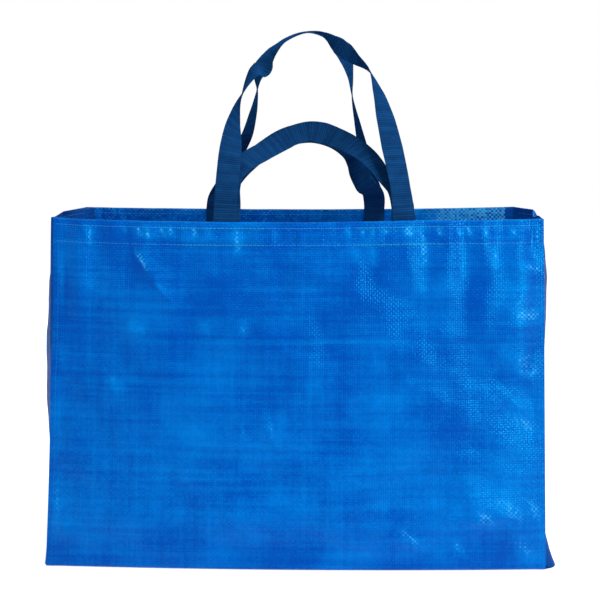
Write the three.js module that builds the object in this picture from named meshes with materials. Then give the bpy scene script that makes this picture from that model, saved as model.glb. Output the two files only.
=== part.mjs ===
// Reusable shopping bag of coated tape cloth, standing open on its flat base.
// Millimetres, +Z up. The origin is on the floor under the middle of the bag.
// The front is at -Y, and the bag is wide along X.

import * as THREE from 'three';
import { mergeVertices } from 'three/addons/utils/BufferGeometryUtils.js';

// Bag
const bagHeight = 465;
const rimWidth = 640;
const baseWidth = 660;
const rimDepth = 194;
const baseDepth = 220;

// Cloth and seams
const clothThickness = 0.4;
const layerGap = 0.3;
const baseFoldRadius = 4;
const hemLength = 32;
const seamAllowance = 11;
const gussetInset = 1;
const seamBend = 1.2;

// Soft shape of the open bag
const frontRimSag = 4;
const rearRimSag = 2;
const gussetRimSag = 2;
const rimBow = 4;
const baseBow = 8;
const panelSwell = 6;

// Gusset creases: crestAt runs from -1 at the front to 1 at the rear
const leftCrestAt = 0.16;
const leftRimRidge = 13;
const leftSwell = 32;
const leftSwellSkew = 0.85;
const leftFootFlare = 14;
const rightCrestAt = 0.54;
const rightRimRidge = 19;
const rightSwell = 27;
const rightSwellSkew = 2.4;
const rightFootFlare = 18;
const flareHeight = 62;
const flareEase = 1.5;
const footSquareness = 20;
const ridgeFullness = 0.6;

// Webbing handles
const webbingWidth = 30;
const webbingThickness = 1.4;
const sewnLength = 36;
const frontLongSpacing = 233;
const frontShortSpacing = 226;
const rearLegSpacing = 236;
const frontLongOffset = 23;
const frontShortOffset = 25;
const rearPairOffset = -6;
const longHandleRise = 249;
const shortHandleRise = 115;
const crossingGap = 2;

// Hem thread
const threadWidth = 0.8;
const threadThickness = 0.5;
const upperRowDepth = 8;
const lowerRowDepth = 30;

// Places that follow from the sizes above
const layerStep = clothThickness + layerGap;
const hemFoldRadius = layerStep / 2;
const panelFoot = baseFoldRadius + clothThickness / 2;
const panelRise = bagHeight - panelFoot;
const outerLayer = layerStep + clothThickness / 2 + layerGap + webbingThickness / 2;
const innerLayer = outerLayer + webbingThickness + layerGap;
const hemDepths = [hemLength / 4, hemLength / 2, hemLength];
const threadStandoff = clothThickness / 2 + layerGap + threadThickness / 2;

// Mesh stations: across the bag, up a panel, round a fold and along a base or gusset
const acrossStations = [-1, -0.94, -0.8, -0.6, -0.4, -0.2, 0, 0.2, 0.4, 0.6, 0.8, 0.94, 1];
const panelStations = [0.82, 0.66, 0.5, 0.34, 0.2, 0.1, 0];
const hemTurns = [0, 45, 90, 135, 180];
const foldTurns = [30, 60, 90];
const baseStations = [-0.95, -0.86, -0.5, 0, 0.5, 0.86, 0.95];
const gussetStations = [0, 0.03, 0.07, 0.13, 0.25, 0.4, 0.55, 0.7, 0.83];
const crestShares = [0, 0.05, 0.13, 0.4, 0.7];
const samplesPerSpan = 3;

const FRONT = -1;
const REAR = 1;
const mix = THREE.MathUtils.lerp;
const radians = THREE.MathUtils.degToRad;

// A closed sheet of even thickness. middle(column, row) gives the points of its middle surface, and its
// two faces lie half the thickness to either side of them, square to the surface.
function sheet(columns, rows, thickness, middle) {
  const geometry = new THREE.BoxGeometry(1, 1, 1, columns, rows, 1);
  const corners = geometry.getAttribute('position');
  for (let i = 0; i < corners.count; i += 1) {
    const column = Math.round((corners.getX(i) + 0.5) * columns);
    const row = Math.round((corners.getY(i) + 0.5) * rows);
    const here = middle(column, row);
    const left = middle(Math.max(column - 1, 0), row);
    const right = middle(Math.min(column + 1, columns), row);
    const below = middle(column, Math.max(row - 1, 0));
    const above = middle(column, Math.min(row + 1, rows));
    const normal = bisector(left, here, right).cross(bisector(below, here, above)).normalize();
    here.addScaledVector(normal, corners.getZ(i) * thickness);
    corners.setXYZ(i, here.x, here.y, here.z);
  }
  splitOutward(geometry);
  geometry.deleteAttribute('normal');
  geometry.deleteAttribute('uv');
  const closed = mergeVertices(geometry);
  closed.computeVertexNormals();
  return closed;
}

// Splits each cell of a sheet's two faces along the diagonal that lies farther out from the middle of the
// bag, so that the faces of a twisted cell, and the layers of a hem, stay the same distance apart.
function splitOutward(geometry) {
  const corners = geometry.getAttribute('position');
  const index = geometry.getIndex();
  const reach = (p, q) => Math.hypot(corners.getX(p) + corners.getX(q), corners.getY(p) + corners.getY(q));
  for (const face of geometry.groups.slice(-2)) {
    for (let i = face.start; i < face.start + face.count; i += 6) {
      const [a, b, d, , c] = index.array.slice(i, i + 6);
      if (reach(a, c) > reach(b, d)) {
        index.array.set([a, b, c, a, c, d], i);
      }
    }
  }
}

// Direction halfway between the step that arrives at a point and the step that leaves it.
function bisector(before, here, after) {
  const arriving = here.clone().sub(before).normalize();
  const leaving = after.clone().sub(here).normalize();
  return arriving.add(leaving).normalize();
}

// Front and rear panels

// Middle surface of a panel: across runs from -1 at the left to 1 at the right, rise from 0 at the base
// fold to 1 at the rim, and inward is a step towards the middle of the bag.
function panelPoint(side, across, rise, inward = 0) {
  const crown = 1 - across * across;
  const bow = mix(baseBow, rimBow, rise) + panelSwell * Math.sin(Math.PI * rise);
  const depth = mix(baseDepth, rimDepth, rise) / 2 + bow * crown;
  const sag = (side === FRONT ? frontRimSag : rearRimSag) * crown * rise;
  const x = (across * mix(baseWidth, rimWidth, rise)) / 2;
  return new THREE.Vector3(x, side * (depth - inward), panelFoot + rise * panelRise - sag);
}

// Rise of a point that lies a distance below the rim.
function riseBelowRim(distance) {
  return 1 - distance / panelRise;
}

// Rows of one panel from the free edge of its hem, over the rim and down to the base fold.
function panelRows(side) {
  const hemRow = (distance) => (across) => panelPoint(side, across, riseBelowRim(distance), layerStep);
  const turnRow = (turn) => (across) => {
    const inward = hemFoldRadius * (1 + Math.cos(radians(turn)));
    const point = panelPoint(side, across, riseBelowRim(hemFoldRadius), inward);
    point.z += hemFoldRadius * Math.sin(radians(turn));
    return point;
  };
  const wallRow = (rise) => (across) => panelPoint(side, across, rise);
  const foldRow = (turn) => (across) => {
    const inward = baseFoldRadius * (1 - Math.cos(radians(turn)));
    const point = panelPoint(side, across, 0, inward);
    point.z -= baseFoldRadius * Math.sin(radians(turn));
    return point;
  };
  return [
    ...hemDepths.toReversed().map(hemRow),
    ...hemTurns.map(turnRow),
    ...[...hemDepths.map(riseBelowRim), ...panelStations].map(wallRow),
    ...foldTurns.map(foldRow),
  ];
}

// Foot of the gussets: the base widens between the corners by the flare of each side.
function footFlare(across, along) {
  const flare = across < 0 ? leftFootFlare : rightFootFlare;
  return flare * (1 - along ** footSquareness);
}

// Row of the base between the two folds, along running from -1 at the front to 1 at the rear.
function baseRow(along) {
  return (across) => {
    const edge = panelPoint(REAR, across, 0, baseFoldRadius);
    const x = edge.x + across * footFlare(across, along);
    return new THREE.Vector3(x, along * edge.y, clothThickness / 2);
  };
}

function bodyPanelGeometry() {
  const rows = [...panelRows(FRONT), ...baseStations.map(baseRow), ...panelRows(REAR).reverse()];
  return sheet(acrossStations.length - 1, rows.length - 1, clothThickness, (column, row) =>
    rows[row](acrossStations[column]));
}

// Gussets

const leftGusset = {
  side: -1,
  crestAt: leftCrestAt,
  rimRidge: leftRimRidge,
  swell: leftSwell,
  skew: leftSwellSkew,
};
const rightGusset = {
  side: 1,
  crestAt: rightCrestAt,
  rimRidge: rightRimRidge,
  swell: rightSwell,
  skew: rightSwellSkew,
};

// How far the gusset stands out past the panel edges: a ridge along the pressed crease, and a foot that
// spreads to the corners of the base.
function gussetReach(gusset, along, rise) {
  const corner = along < gusset.crestAt ? -1 : 1;
  const toCrest = (along - corner) / (gusset.crestAt - corner);
  const swelling = Math.max(0, Math.sin(Math.PI * rise ** gusset.skew)) ** ridgeFullness;
  const ridge = gusset.rimRidge * rise + gusset.swell * swelling;
  const foot = Math.max(0, 1 - (rise * panelRise) / flareHeight) ** flareEase;
  return ridge * toCrest + foot * footFlare(gusset.side, along);
}

// Wall of a gusset: along runs from -1 at the front to 1 at the rear, inward is a step into the bag.
function gussetWallPoint(gusset, along, rise, inward) {
  const edge = panelPoint(REAR, gusset.side, rise);
  const x = Math.abs(edge.x) - gussetInset + gussetReach(gusset, along, rise) - inward;
  const halfDepth = edge.y - 2 * layerStep - seamBend - inward;
  const foot = Math.abs(along) < 1 ? layerStep : panelFoot + layerStep;
  const z = mix(foot, bagHeight - gussetRimSag * (1 - along * along), rise);
  return new THREE.Vector3(gusset.side * x, along * halfDepth, z);
}

// Seam allowance of a gusset, flat against the inside of a panel's hem fold.
function allowancePoint(gusset, side, width, rise, inward) {
  const edge = panelPoint(side, gusset.side, rise);
  const x = Math.abs(edge.x) - gussetInset - seamBend - width - inward;
  const point = panelPoint(side, (gusset.side * x) / Math.abs(edge.x), rise, 2 * layerStep + inward);
  point.z += layerStep * (1 - rise);
  return point;
}

// Stations along a gusset, from the front corner over the crease to the rear corner.
function wallStations(gusset) {
  const front = crestShares.map((share) => mix(-1, gusset.crestAt, share));
  const rear = crestShares.map((share) => mix(1, gusset.crestAt, share));
  return [...front, gusset.crestAt, ...rear.reverse()];
}

function gussetGeometry(gusset) {
  const column = (place) => (rise, inward) => gussetWallPoint(gusset, place, rise, inward);
  const allowance = (side, width) => (rise, inward) => allowancePoint(gusset, side, width, rise, inward);
  const columns = [
    allowance(FRONT, seamAllowance),
    allowance(FRONT, 0),
    ...wallStations(gusset).map(column),
    allowance(REAR, 0),
    allowance(REAR, seamAllowance),
  ];
  const wallRow = (rise) => (place) => place(rise, 0);
  const turnRow = (turn) => (place) => {
    const point = place(riseBelowRim(hemFoldRadius), hemFoldRadius * (1 - Math.cos(radians(turn))));
    point.z += hemFoldRadius * Math.sin(radians(turn));
    return point;
  };
  const hemRow = (distance) => (place) => place(riseBelowRim(distance), layerStep);
  const rows = [
    ...[...gussetStations, ...hemDepths.toReversed().map(riseBelowRim)].map(wallRow),
    ...hemTurns.map(turnRow),
    ...hemDepths.map(hemRow),
  ];
  return sheet(columns.length - 1, rows.length - 1, clothThickness, (place, row) =>
    rows[row](columns[place]));
}

// Handles

// Stations of a handle from its left foot to its right foot, each [across, up, inward, turn]: across as a
// share of half the leg spacing, up as a share of the rise, inward as a share of the way to the middle
// plane of the bag, and the turn of the webbing in degrees, where 90 and 270 face the front.
const frontLongStations = [
  [-1, 0, 0, 90],
  [-0.985, 0.14, 0.04, 90],
  [-0.963, 0.3, 0.2, 92],
  [-0.945, 0.4, 0.33, 114],
  [-0.915, 0.53, 0.5, 150],
  [-0.85, 0.65, 0.62, 180],
  [-0.7, 0.788, 0.74, 216],
  [-0.612, 0.814, 0.78, 248],
  [-0.582, 0.845, 0.8, 232],
  [-0.553, 0.878, 0.81, 215],
  [-0.523, 0.9, 0.82, 206],
  [-0.486, 0.921, 0.82, 199],
  [-0.436, 0.94, 0.825, 195],
  [-0.337, 0.974, 0.83, 191],
  [-0.173, 1.006, 0.83, 188],
  [-0.04, 1.014, 0.83, 184],
  [0.117, 0.996, 0.83, 174],
  [0.26, 0.941, 0.82, 142],
  [0.37, 0.903, 0.81, 137],
  [0.471, 0.863, 0.79, 154],
  [0.632, 0.799, 0.74, 180],
  [0.737, 0.68, 0.64, 210],
  [0.812, 0.54, 0.5, 236],
  [0.881, 0.38, 0.31, 250],
  [0.96, 0.18, 0.08, 242],
  [0.993, 0.05, 0.01, 256],
  [1, 0, 0, 270],
];
const rearLongStations = [
  [-1, 0, 0, 90],
  [-0.985, 0.05, 0, 90],
  [-0.9, 0.13, 0.06, 116],
  [-0.8, 0.22, 0.18, 138],
  [-0.7, 0.33, 0.32, 148],
  [-0.58, 0.44, 0.48, 152],
  [-0.5, 0.56, 0.62, 163],
  [-0.445, 0.68, 0.72, 180],
  [-0.43, 0.76, 0.76, 200],
  [-0.34, 0.837, 0.79, 224],
  [-0.245, 0.9, 0.81, 206],
  [-0.11, 0.959, 0.83, 192],
  [0.15, 1.003, 0.83, 187],
  [0.35, 0.988, 0.82, 192],
  [0.535, 0.932, 0.8, 236],
  [0.62, 0.86, 0.78, 220],
  [0.672, 0.77, 0.74, 198],
  [0.702, 0.645, 0.65, 180],
  [0.772, 0.5, 0.495, 166],
  [0.875, 0.3, 0.24, 148],
  [0.925, 0.19, 0.12, 130],
  [0.99, 0.06, 0.01, 93],
  [1, 0, 0, 90],
];
const frontShortStations = [
  [-1, 0, 0, 90],
  [-1, 0.2, 0.06, 90],
  [-1.005, 0.38, 0.15, 80],
  [-0.96, 0.535, 0.28, 66],
  [-0.84, 0.662, 0.4, 60],
  [-0.617, 0.795, 0.65, 62],
  [-0.375, 0.935, 0.86, 76],
  [-0.31, 0.967, 0.91, 68],
  [-0.08, 1.027, 0.967, 64],
  [0.085, 1.003, 0.945, 80],
  [0.15, 0.985, 0.93, 70],
  [0.414, 0.865, 0.715, 60],
  [0.635, 0.703, 0.5, 50],
  [0.795, 0.508, 0.32, 42],
  [0.94, 0.35, 0.2, 56],
  [1, 0.17, 0.08, 84],
  [1, 0, 0, 90],
];
const rearShortStations = [
  [-1, 0, 0, 90],
  [-0.97, 0.07, 0.05, 90],
  [-0.88, 0.2, 0.16, 86],
  [-0.76, 0.4, 0.36, 66],
  [-0.6, 0.58, 0.56, 60],
  [-0.36, 0.78, 0.78, 60],
  [-0.08, 0.94, 0.93, 66],
  [0.2, 0.99, 0.967, 68],
  [0.47, 0.92, 0.86, 66],
  [0.68, 0.765, 0.7, 72],
  [0.75, 0.63, 0.6, 70],
  [0.79, 0.49, 0.49, 74],
  [0.84, 0.385, 0.4, 78],
  [0.88, 0.32, 0.33, 98],
  [0.93, 0.27, 0.27, 118],
  [0.975, 0.22, 0.2, 112],
  [1, 0.13, 0.08, 94],
  [1, 0, 0, 90],
];

// Point on the inside of a hem where webbing is sewn, a distance below the rim.
function sewnPoint(handle, across, distance) {
  const x = handle.pairOffset + (across * handle.legSpacing) / 2;
  return panelPoint(handle.side, (2 * x) / rimWidth, riseBelowRim(distance), handle.layer);
}

// Centres and width directions along a handle: its two sewn ends and the free loop between them.
function handleStations(handle) {
  const centres = handle.stations.map(([across, up, inward]) => {
    const point = sewnPoint(handle, across, 0);
    point.y = mix(point.y, 0, inward);
    point.z += up * handle.rise;
    return point;
  });
  const loop = new THREE.CatmullRomCurve3(centres);
  const spans = handle.stations.length - 1;
  const sideways = new THREE.Vector3(1, 0, 0);
  const sewn = (across, distance, turn) => ({
    centre: sewnPoint(handle, across, distance),
    width: sideways.clone().multiplyScalar(across * Math.sin(radians(turn))),
  });
  const firstTurn = handle.stations[0][3];
  const lastTurn = handle.stations[spans][3];
  const stations = [sewn(-1, sewnLength, firstTurn), sewn(-1, sewnLength / 2, firstTurn)];
  for (let i = 0; i <= spans * samplesPerSpan; i += 1) {
    const span = Math.min(Math.floor(i / samplesPerSpan), spans - 1);
    const share = i / samplesPerSpan - span;
    const turn = mix(handle.stations[span][3], handle.stations[span + 1][3], share);
    const at = i / (spans * samplesPerSpan);
    stations.push({ centre: loop.getPoint(at), width: widthDirection(loop.getTangent(at), turn) });
  }
  stations.push(sewn(1, sewnLength / 2, lastTurn), sewn(1, sewnLength, lastTurn));
  return stations;
}

// Width direction of webbing that runs along a tangent: a turn of 0 lays the width front to rear.
function widthDirection(tangent, turn) {
  const rearward = new THREE.Vector3(0, 1, 0);
  rearward.addScaledVector(tangent, -tangent.y).normalize();
  const faceOn = tangent.clone().cross(rearward);
  return rearward.multiplyScalar(Math.cos(radians(turn))).addScaledVector(faceOn, Math.sin(radians(turn)));
}

function handleGeometry(handle) {
  const stations = handleStations(handle);
  const widthSteps = 2;
  return sheet(stations.length - 1, widthSteps, webbingThickness, (column, row) => {
    const { centre, width } = stations[column];
    return centre.clone().addScaledVector(width, webbingWidth * (row / widthSteps - 0.5));
  });
}

const frontLong = {
  side: FRONT,
  legSpacing: frontLongSpacing,
  pairOffset: frontLongOffset,
  layer: outerLayer,
  rise: longHandleRise,
  stations: frontLongStations,
};
const frontShort = {
  side: FRONT,
  legSpacing: frontShortSpacing,
  pairOffset: frontShortOffset,
  layer: innerLayer,
  rise: shortHandleRise,
  stations: frontShortStations,
};
const rearLong = {
  side: REAR,
  legSpacing: rearLegSpacing,
  pairOffset: rearPairOffset,
  layer: outerLayer,
  rise: longHandleRise + webbingThickness + crossingGap,
  stations: rearLongStations,
};
const rearShort = {
  side: REAR,
  legSpacing: rearLegSpacing,
  pairOffset: rearPairOffset,
  layer: innerLayer,
  rise: shortHandleRise,
  stations: rearShortStations,
};

// Hem thread: a row runs right round the outside, from the middle of the rear panel to where it began.

function stitchingGeometry(distance) {
  const rise = riseBelowRim(distance);
  const onPanel = (side, across) => panelPoint(side, across, rise, -threadStandoff);
  const onGusset = (gusset, along) => gussetWallPoint(gusset, along, rise, -threadStandoff);
  const roundEdge = (side, across) => {
    const edge = panelPoint(side, across, rise);
    const outside = Math.abs(edge.x) + threadStandoff;
    const inner = edge.clone().setX(across * outside);
    inner.y -= side * (layerStep + clothThickness);
    return [edge.clone().setX(across * outside), inner];
  };
  const onWall = (gusset) => wallStations(gusset).slice(2, -2).map((along) => onGusset(gusset, along));
  const fromMiddle = acrossStations.filter((across) => across >= 0);
  const path = [
    ...fromMiddle.map((across) => onPanel(REAR, -across)),
    ...roundEdge(REAR, -1),
    ...onWall(leftGusset).reverse(),
    ...roundEdge(FRONT, -1).reverse(),
    ...acrossStations.map((across) => onPanel(FRONT, across)),
    ...roundEdge(FRONT, 1),
    ...onWall(rightGusset),
    ...roundEdge(REAR, 1).reverse(),
    ...fromMiddle.toReversed().map((across) => onPanel(REAR, across)),
  ];
  path[path.length - 1].x += layerGap;
  return sheet(path.length - 1, 1, threadThickness, (column, row) => {
    const point = path[column].clone();
    point.z += threadWidth * (row - 0.5);
    return point;
  });
}

// Materials and assembly

const cloth = new THREE.MeshStandardMaterial({ color: 0x0466c9, roughness: 0.45, metalness: 0 });
const webbing = new THREE.MeshStandardMaterial({ color: 0x113a67, roughness: 0.8, metalness: 0 });
const thread = new THREE.MeshStandardMaterial({ color: 0x4fb4dc, roughness: 0.6, metalness: 0 });

const bag = new THREE.Group();

function addPiece(name, geometry, material) {
  const piece = new THREE.Mesh(geometry, material.clone());
  piece.name = name;
  bag.add(piece);
}

addPiece('body_panel', bodyPanelGeometry(), cloth);
addPiece('left_gusset', gussetGeometry(leftGusset), cloth);
addPiece('right_gusset', gussetGeometry(rightGusset), cloth);
addPiece('front_long_handle', handleGeometry(frontLong), webbing);
addPiece('front_short_handle', handleGeometry(frontShort), webbing);
addPiece('rear_long_handle', handleGeometry(rearLong), webbing);
addPiece('rear_short_handle', handleGeometry(rearShort), webbing);
addPiece('upper_hem_stitching', stitchingGeometry(upperRowDepth), thread);
addPiece('lower_hem_stitching', stitchingGeometry(lowerRowDepth), thread);

export default bag;
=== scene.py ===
# %% [markdown]
# A large reusable shopping bag stands open on the floor. Its blue cloth is woven from flat plastic tapes
# and coated with a thin film. Four navy webbing handles, two long and two short, are sewn inside the hem.
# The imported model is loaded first, because every piece made here lies in its frame, in metres.

# %% Load the frame
import bpy
import numpy as np
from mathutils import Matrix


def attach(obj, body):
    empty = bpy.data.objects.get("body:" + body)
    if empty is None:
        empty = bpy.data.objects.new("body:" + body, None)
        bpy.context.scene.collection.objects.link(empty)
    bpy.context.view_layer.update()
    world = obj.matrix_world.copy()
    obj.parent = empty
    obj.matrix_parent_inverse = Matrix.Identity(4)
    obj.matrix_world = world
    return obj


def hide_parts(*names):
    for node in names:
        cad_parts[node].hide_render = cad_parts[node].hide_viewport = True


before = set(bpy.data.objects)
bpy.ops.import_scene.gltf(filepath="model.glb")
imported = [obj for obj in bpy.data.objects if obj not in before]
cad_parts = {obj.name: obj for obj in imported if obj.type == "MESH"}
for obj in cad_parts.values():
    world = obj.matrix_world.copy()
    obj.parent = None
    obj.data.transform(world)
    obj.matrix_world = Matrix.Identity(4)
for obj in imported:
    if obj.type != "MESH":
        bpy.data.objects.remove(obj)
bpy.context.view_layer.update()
MM = 0.001
print("solids in the frame:", ", ".join(sorted(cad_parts)))

# %% [markdown]
# The camera stands straight in front of the bag, a little above its rim, so that a narrow band of the
# inside shows. A camera that tilts down makes upright edges lean. A lens shift lets the tilt stay small,
# as an architect's lens does, and moves the picture up instead.

# %% Camera
CAMERA_PLACE = (28 * MM, -1397 * MM, 576 * MM)
TILT_DOWN, SWING_LEFT = 5.38, 1.03
SENSOR_WIDTH, FOCAL_LENGTH, LENS_SHIFT = 36, 60.24, -0.12

camera = bpy.data.objects.new("camera", bpy.data.cameras.new("camera"))
camera.location = CAMERA_PLACE
camera.rotation_euler = np.radians([90 - TILT_DOWN, 0, SWING_LEFT])
camera.data.sensor_width = SENSOR_WIDTH
camera.data.lens = FOCAL_LENGTH
camera.data.shift_y = LENS_SHIFT
bpy.context.scene.collection.objects.link(camera)
bpy.context.scene.camera = camera
print("camera at", [round(v, 3) for v in camera.location])

# %% [markdown]
# The sizes below are those of the solids. The cloth pieces repeat the solids' formulas on a much finer
# grid and add the dents and folds of real cloth, so each one lies where its solid is.

# %% Sizes of the bag
BAG_HEIGHT = 465 * MM
RIM_WIDTH, BASE_WIDTH = 640 * MM, 660 * MM
RIM_DEPTH, BASE_DEPTH = 194 * MM, 220 * MM
CLOTH = 0.4 * MM
LAYER_STEP = 0.7 * MM
BASE_FOLD = 4 * MM
HEM_FOLD = LAYER_STEP / 2
SEAM_ALLOWANCE = 11 * MM
GUSSET_INSET = 1 * MM
SEAM_BEND = 1.2 * MM
SEWN_STEP = CLOTH + 0.05 * MM
FRONT_SAG, REAR_SAG, TAUT_SHARE = 4 * MM, 2 * MM, 0.4
FRONT_LIFT, REAR_LIFT = (2.0 * MM, 1.0 * MM), (1.2 * MM, 2.5 * MM)
RIM_BOW, BASE_BOW, PANEL_SWELL = 4 * MM, 8 * MM, 6 * MM
PANEL_FOOT = BASE_FOLD + CLOTH / 2
PANEL_RISE = BAG_HEIGHT - PANEL_FOOT
FRONT, REAR = -1, 1
print("panel height", round(PANEL_RISE, 4))

# %% [markdown]
# A few small helpers serve every piece: a blend between two values, a soft step, a bell curve and the unit
# vector. Two more are for paths: the distance along a path, and the places at given distances along it.

# %% Helpers
def mix(a, b, share):
    """Value a share of the way from a to b."""
    return a + (b - a) * share


def soft_step(value):
    """0 below 0, 1 above 1, and the smooth curve 3t^2 - 2t^3 between."""
    t = np.clip(value, 0, 1)
    return t * t * (3 - 2 * t)


def bell(distance, reach):
    """Bell curve exp(-(distance / reach)^2): 1 in the middle and almost 0 at twice the reach."""
    return np.exp(-((distance / reach) ** 2))


def unit(vectors):
    """Vectors divided by their lengths."""
    return vectors / np.linalg.norm(vectors, axis=-1, keepdims=True)


def run_length(path):
    """Distance of each point of a path from its start: the running sum of the lengths of its steps."""
    return np.concatenate([[0], np.cumsum(np.linalg.norm(np.diff(path, axis=0), axis=1))])


def along_path(at, run, values):
    """Values in x, y and z at given distances, between those known at the distances in run."""
    return np.stack([np.interp(at, run, values[:, axis]) for axis in range(3)], -1)


print("a soft step at a quarter is", soft_step(0.25), "and a bell curve at its reach", round(bell(1, 1), 3))

# %% [markdown]
# Tape cloth is stiff and papery. It doesn't flow like a curtain: it holds broad shallow waves, and where
# it was once folded it keeps straight ridges. So the dents are a sum of two kinds. Random plane waves give
# the shallow unevenness, and a list gives the folds that the eye picks out.

# %% Dents in cloth
WAVE_COUNT = 24


def waves(x, z, kind, side):
    """Sum of 24 plane waves of random direction, phase and length. A kind of wave is its height, its shortest
    and its longest length, all in millimetres, and a seed, to which the side of the bag is added."""
    height, shortest, longest, seed = kind
    rng = np.random.default_rng(seed + side)
    heading = rng.uniform(0, np.pi, WAVE_COUNT)
    phase = rng.uniform(0, 2 * np.pi, WAVE_COUNT)
    turns = 2 * np.pi / rng.uniform(shortest * MM, longest * MM, WAVE_COUNT)
    ahead = x[..., None] * np.cos(heading) + z[..., None] * np.sin(heading)
    return height * MM * np.sin(turns * ahead + phase).sum(-1) / np.sqrt(WAVE_COUNT / 2)


def folds(x, z, table):
    """Height of straight folds. Each row is x0, z0, x1, z1, height, reach below, reach above, sharpness, in
    millimetres, where below means the left of an upright fold. A fold's height is sin(pi t)^0.5 along it
    and exp(-|distance / reach|^sharpness) to its sides."""
    total = np.zeros(np.broadcast(x, z).shape)
    for x0, z0, x1, z1, height, below, above, sharpness in table:
        run = np.array([x1 - x0, z1 - z0]) * MM
        length = np.hypot(*run)
        ahead = ((x - x0 * MM) * run[0] + (z - z0 * MM) * run[1]) / length**2
        aside = ((z - z0 * MM) * run[0] - (x - x0 * MM) * run[1]) / length
        reach = np.where(aside < 0, below, above) * MM
        taper = np.sin(np.pi * np.clip(ahead, 0, 1)) ** 0.5
        total += height * MM * taper * np.exp(-np.abs(aside / reach) ** sharpness)
    return total


print("a fold 1 mm high has the height", folds(0.0, 0.0, [(-10, 0, 10, 0, 1, 5, 5, 1)]), "in its middle")

# %% Folds of the front and rear panels
FRONT_FOLDS = [
    (-216, 430, -156, 338, 4.2, 7, 20, 1.0),
    (-280, 462, -284, 330, 1.4, 18, 12, 1.6),
    (-92, 462, -90, 290, 1.8, 20, 12, 1.6),
    (46, 462, 60, 370, 1.6, 22, 16, 1.6),
    (78, 450, 86, 330, 1.4, 18, 14, 1.6),
    (140, 463, 150, 362, 2.4, 24, 14, 1.6),
    (198, 462, 206, 384, 2.0, 22, 12, 1.6),
    (238, 462, 246, 402, 1.6, 18, 10, 1.6),
    (282, 446, 288, 270, 3.8, 60, 34, 1.6),
    (246, 398, 322, 392, 1.4, 7, 22, 1.2),
    (256, 324, 322, 318, 1.8, 8, 24, 1.2),
    (252, 292, 318, 240, 2.4, 9, 18, 1.2),
    (254, 248, 318, 190, 3.0, 9, 20, 1.2),
    (208, 156, 230, 58, 4.2, 14, 44, 1.3),
    (228, 60, 304, 72, 3.6, 10, 24, 1.2),
    (276, 64, 312, 22, 1.8, 9, 14, 1.2),
    (122, 46, 172, 24, 1.8, 7, 13, 1.2),
    (204, 30, 226, 12, 1.2, 5, 9, 1.2),
    (-84, 196, -66, 160, 1.3, 4, 8, 1.0),
    (-46, 206, -30, 158, 1.6, 4, 8, 1.0),
    (20, 128, 14, 72, 0.9, 8, 5, 1.0),
    (-276, 288, -226, 220, 2.2, 12, 24, 1.4),
    (126, 292, 154, 214, 1.2, 14, 18, 1.5),
    (-312, 311, 312, 310, 0.5, 3, 7, 1.0),
]
REAR_FOLDS = [
    (-240, 460, -226, 330, 1.8, 12, 14, 2.0),
    (-150, 462, -160, 372, 1.4, 10, 12, 2.0),
    (60, 462, 44, 320, 1.6, 12, 16, 2.0),
    (196, 460, 214, 336, 2.0, 12, 16, 1.6),
    (-226, 150, -300, 56, 2.4, 10, 26, 1.2),
    (214, 132, 292, 40, 2.6, 12, 26, 1.2),
    (-60, 236, -22, 172, 1.4, 6, 12, 1.0),
    (110, 300, 160, 236, 1.4, 9, 14, 1.0),
    (-190, 290, -130, 232, 1.3, 12, 8, 1.2),
]
print(len(FRONT_FOLDS), "front folds,", len(REAR_FOLDS), "rear folds")
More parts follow.
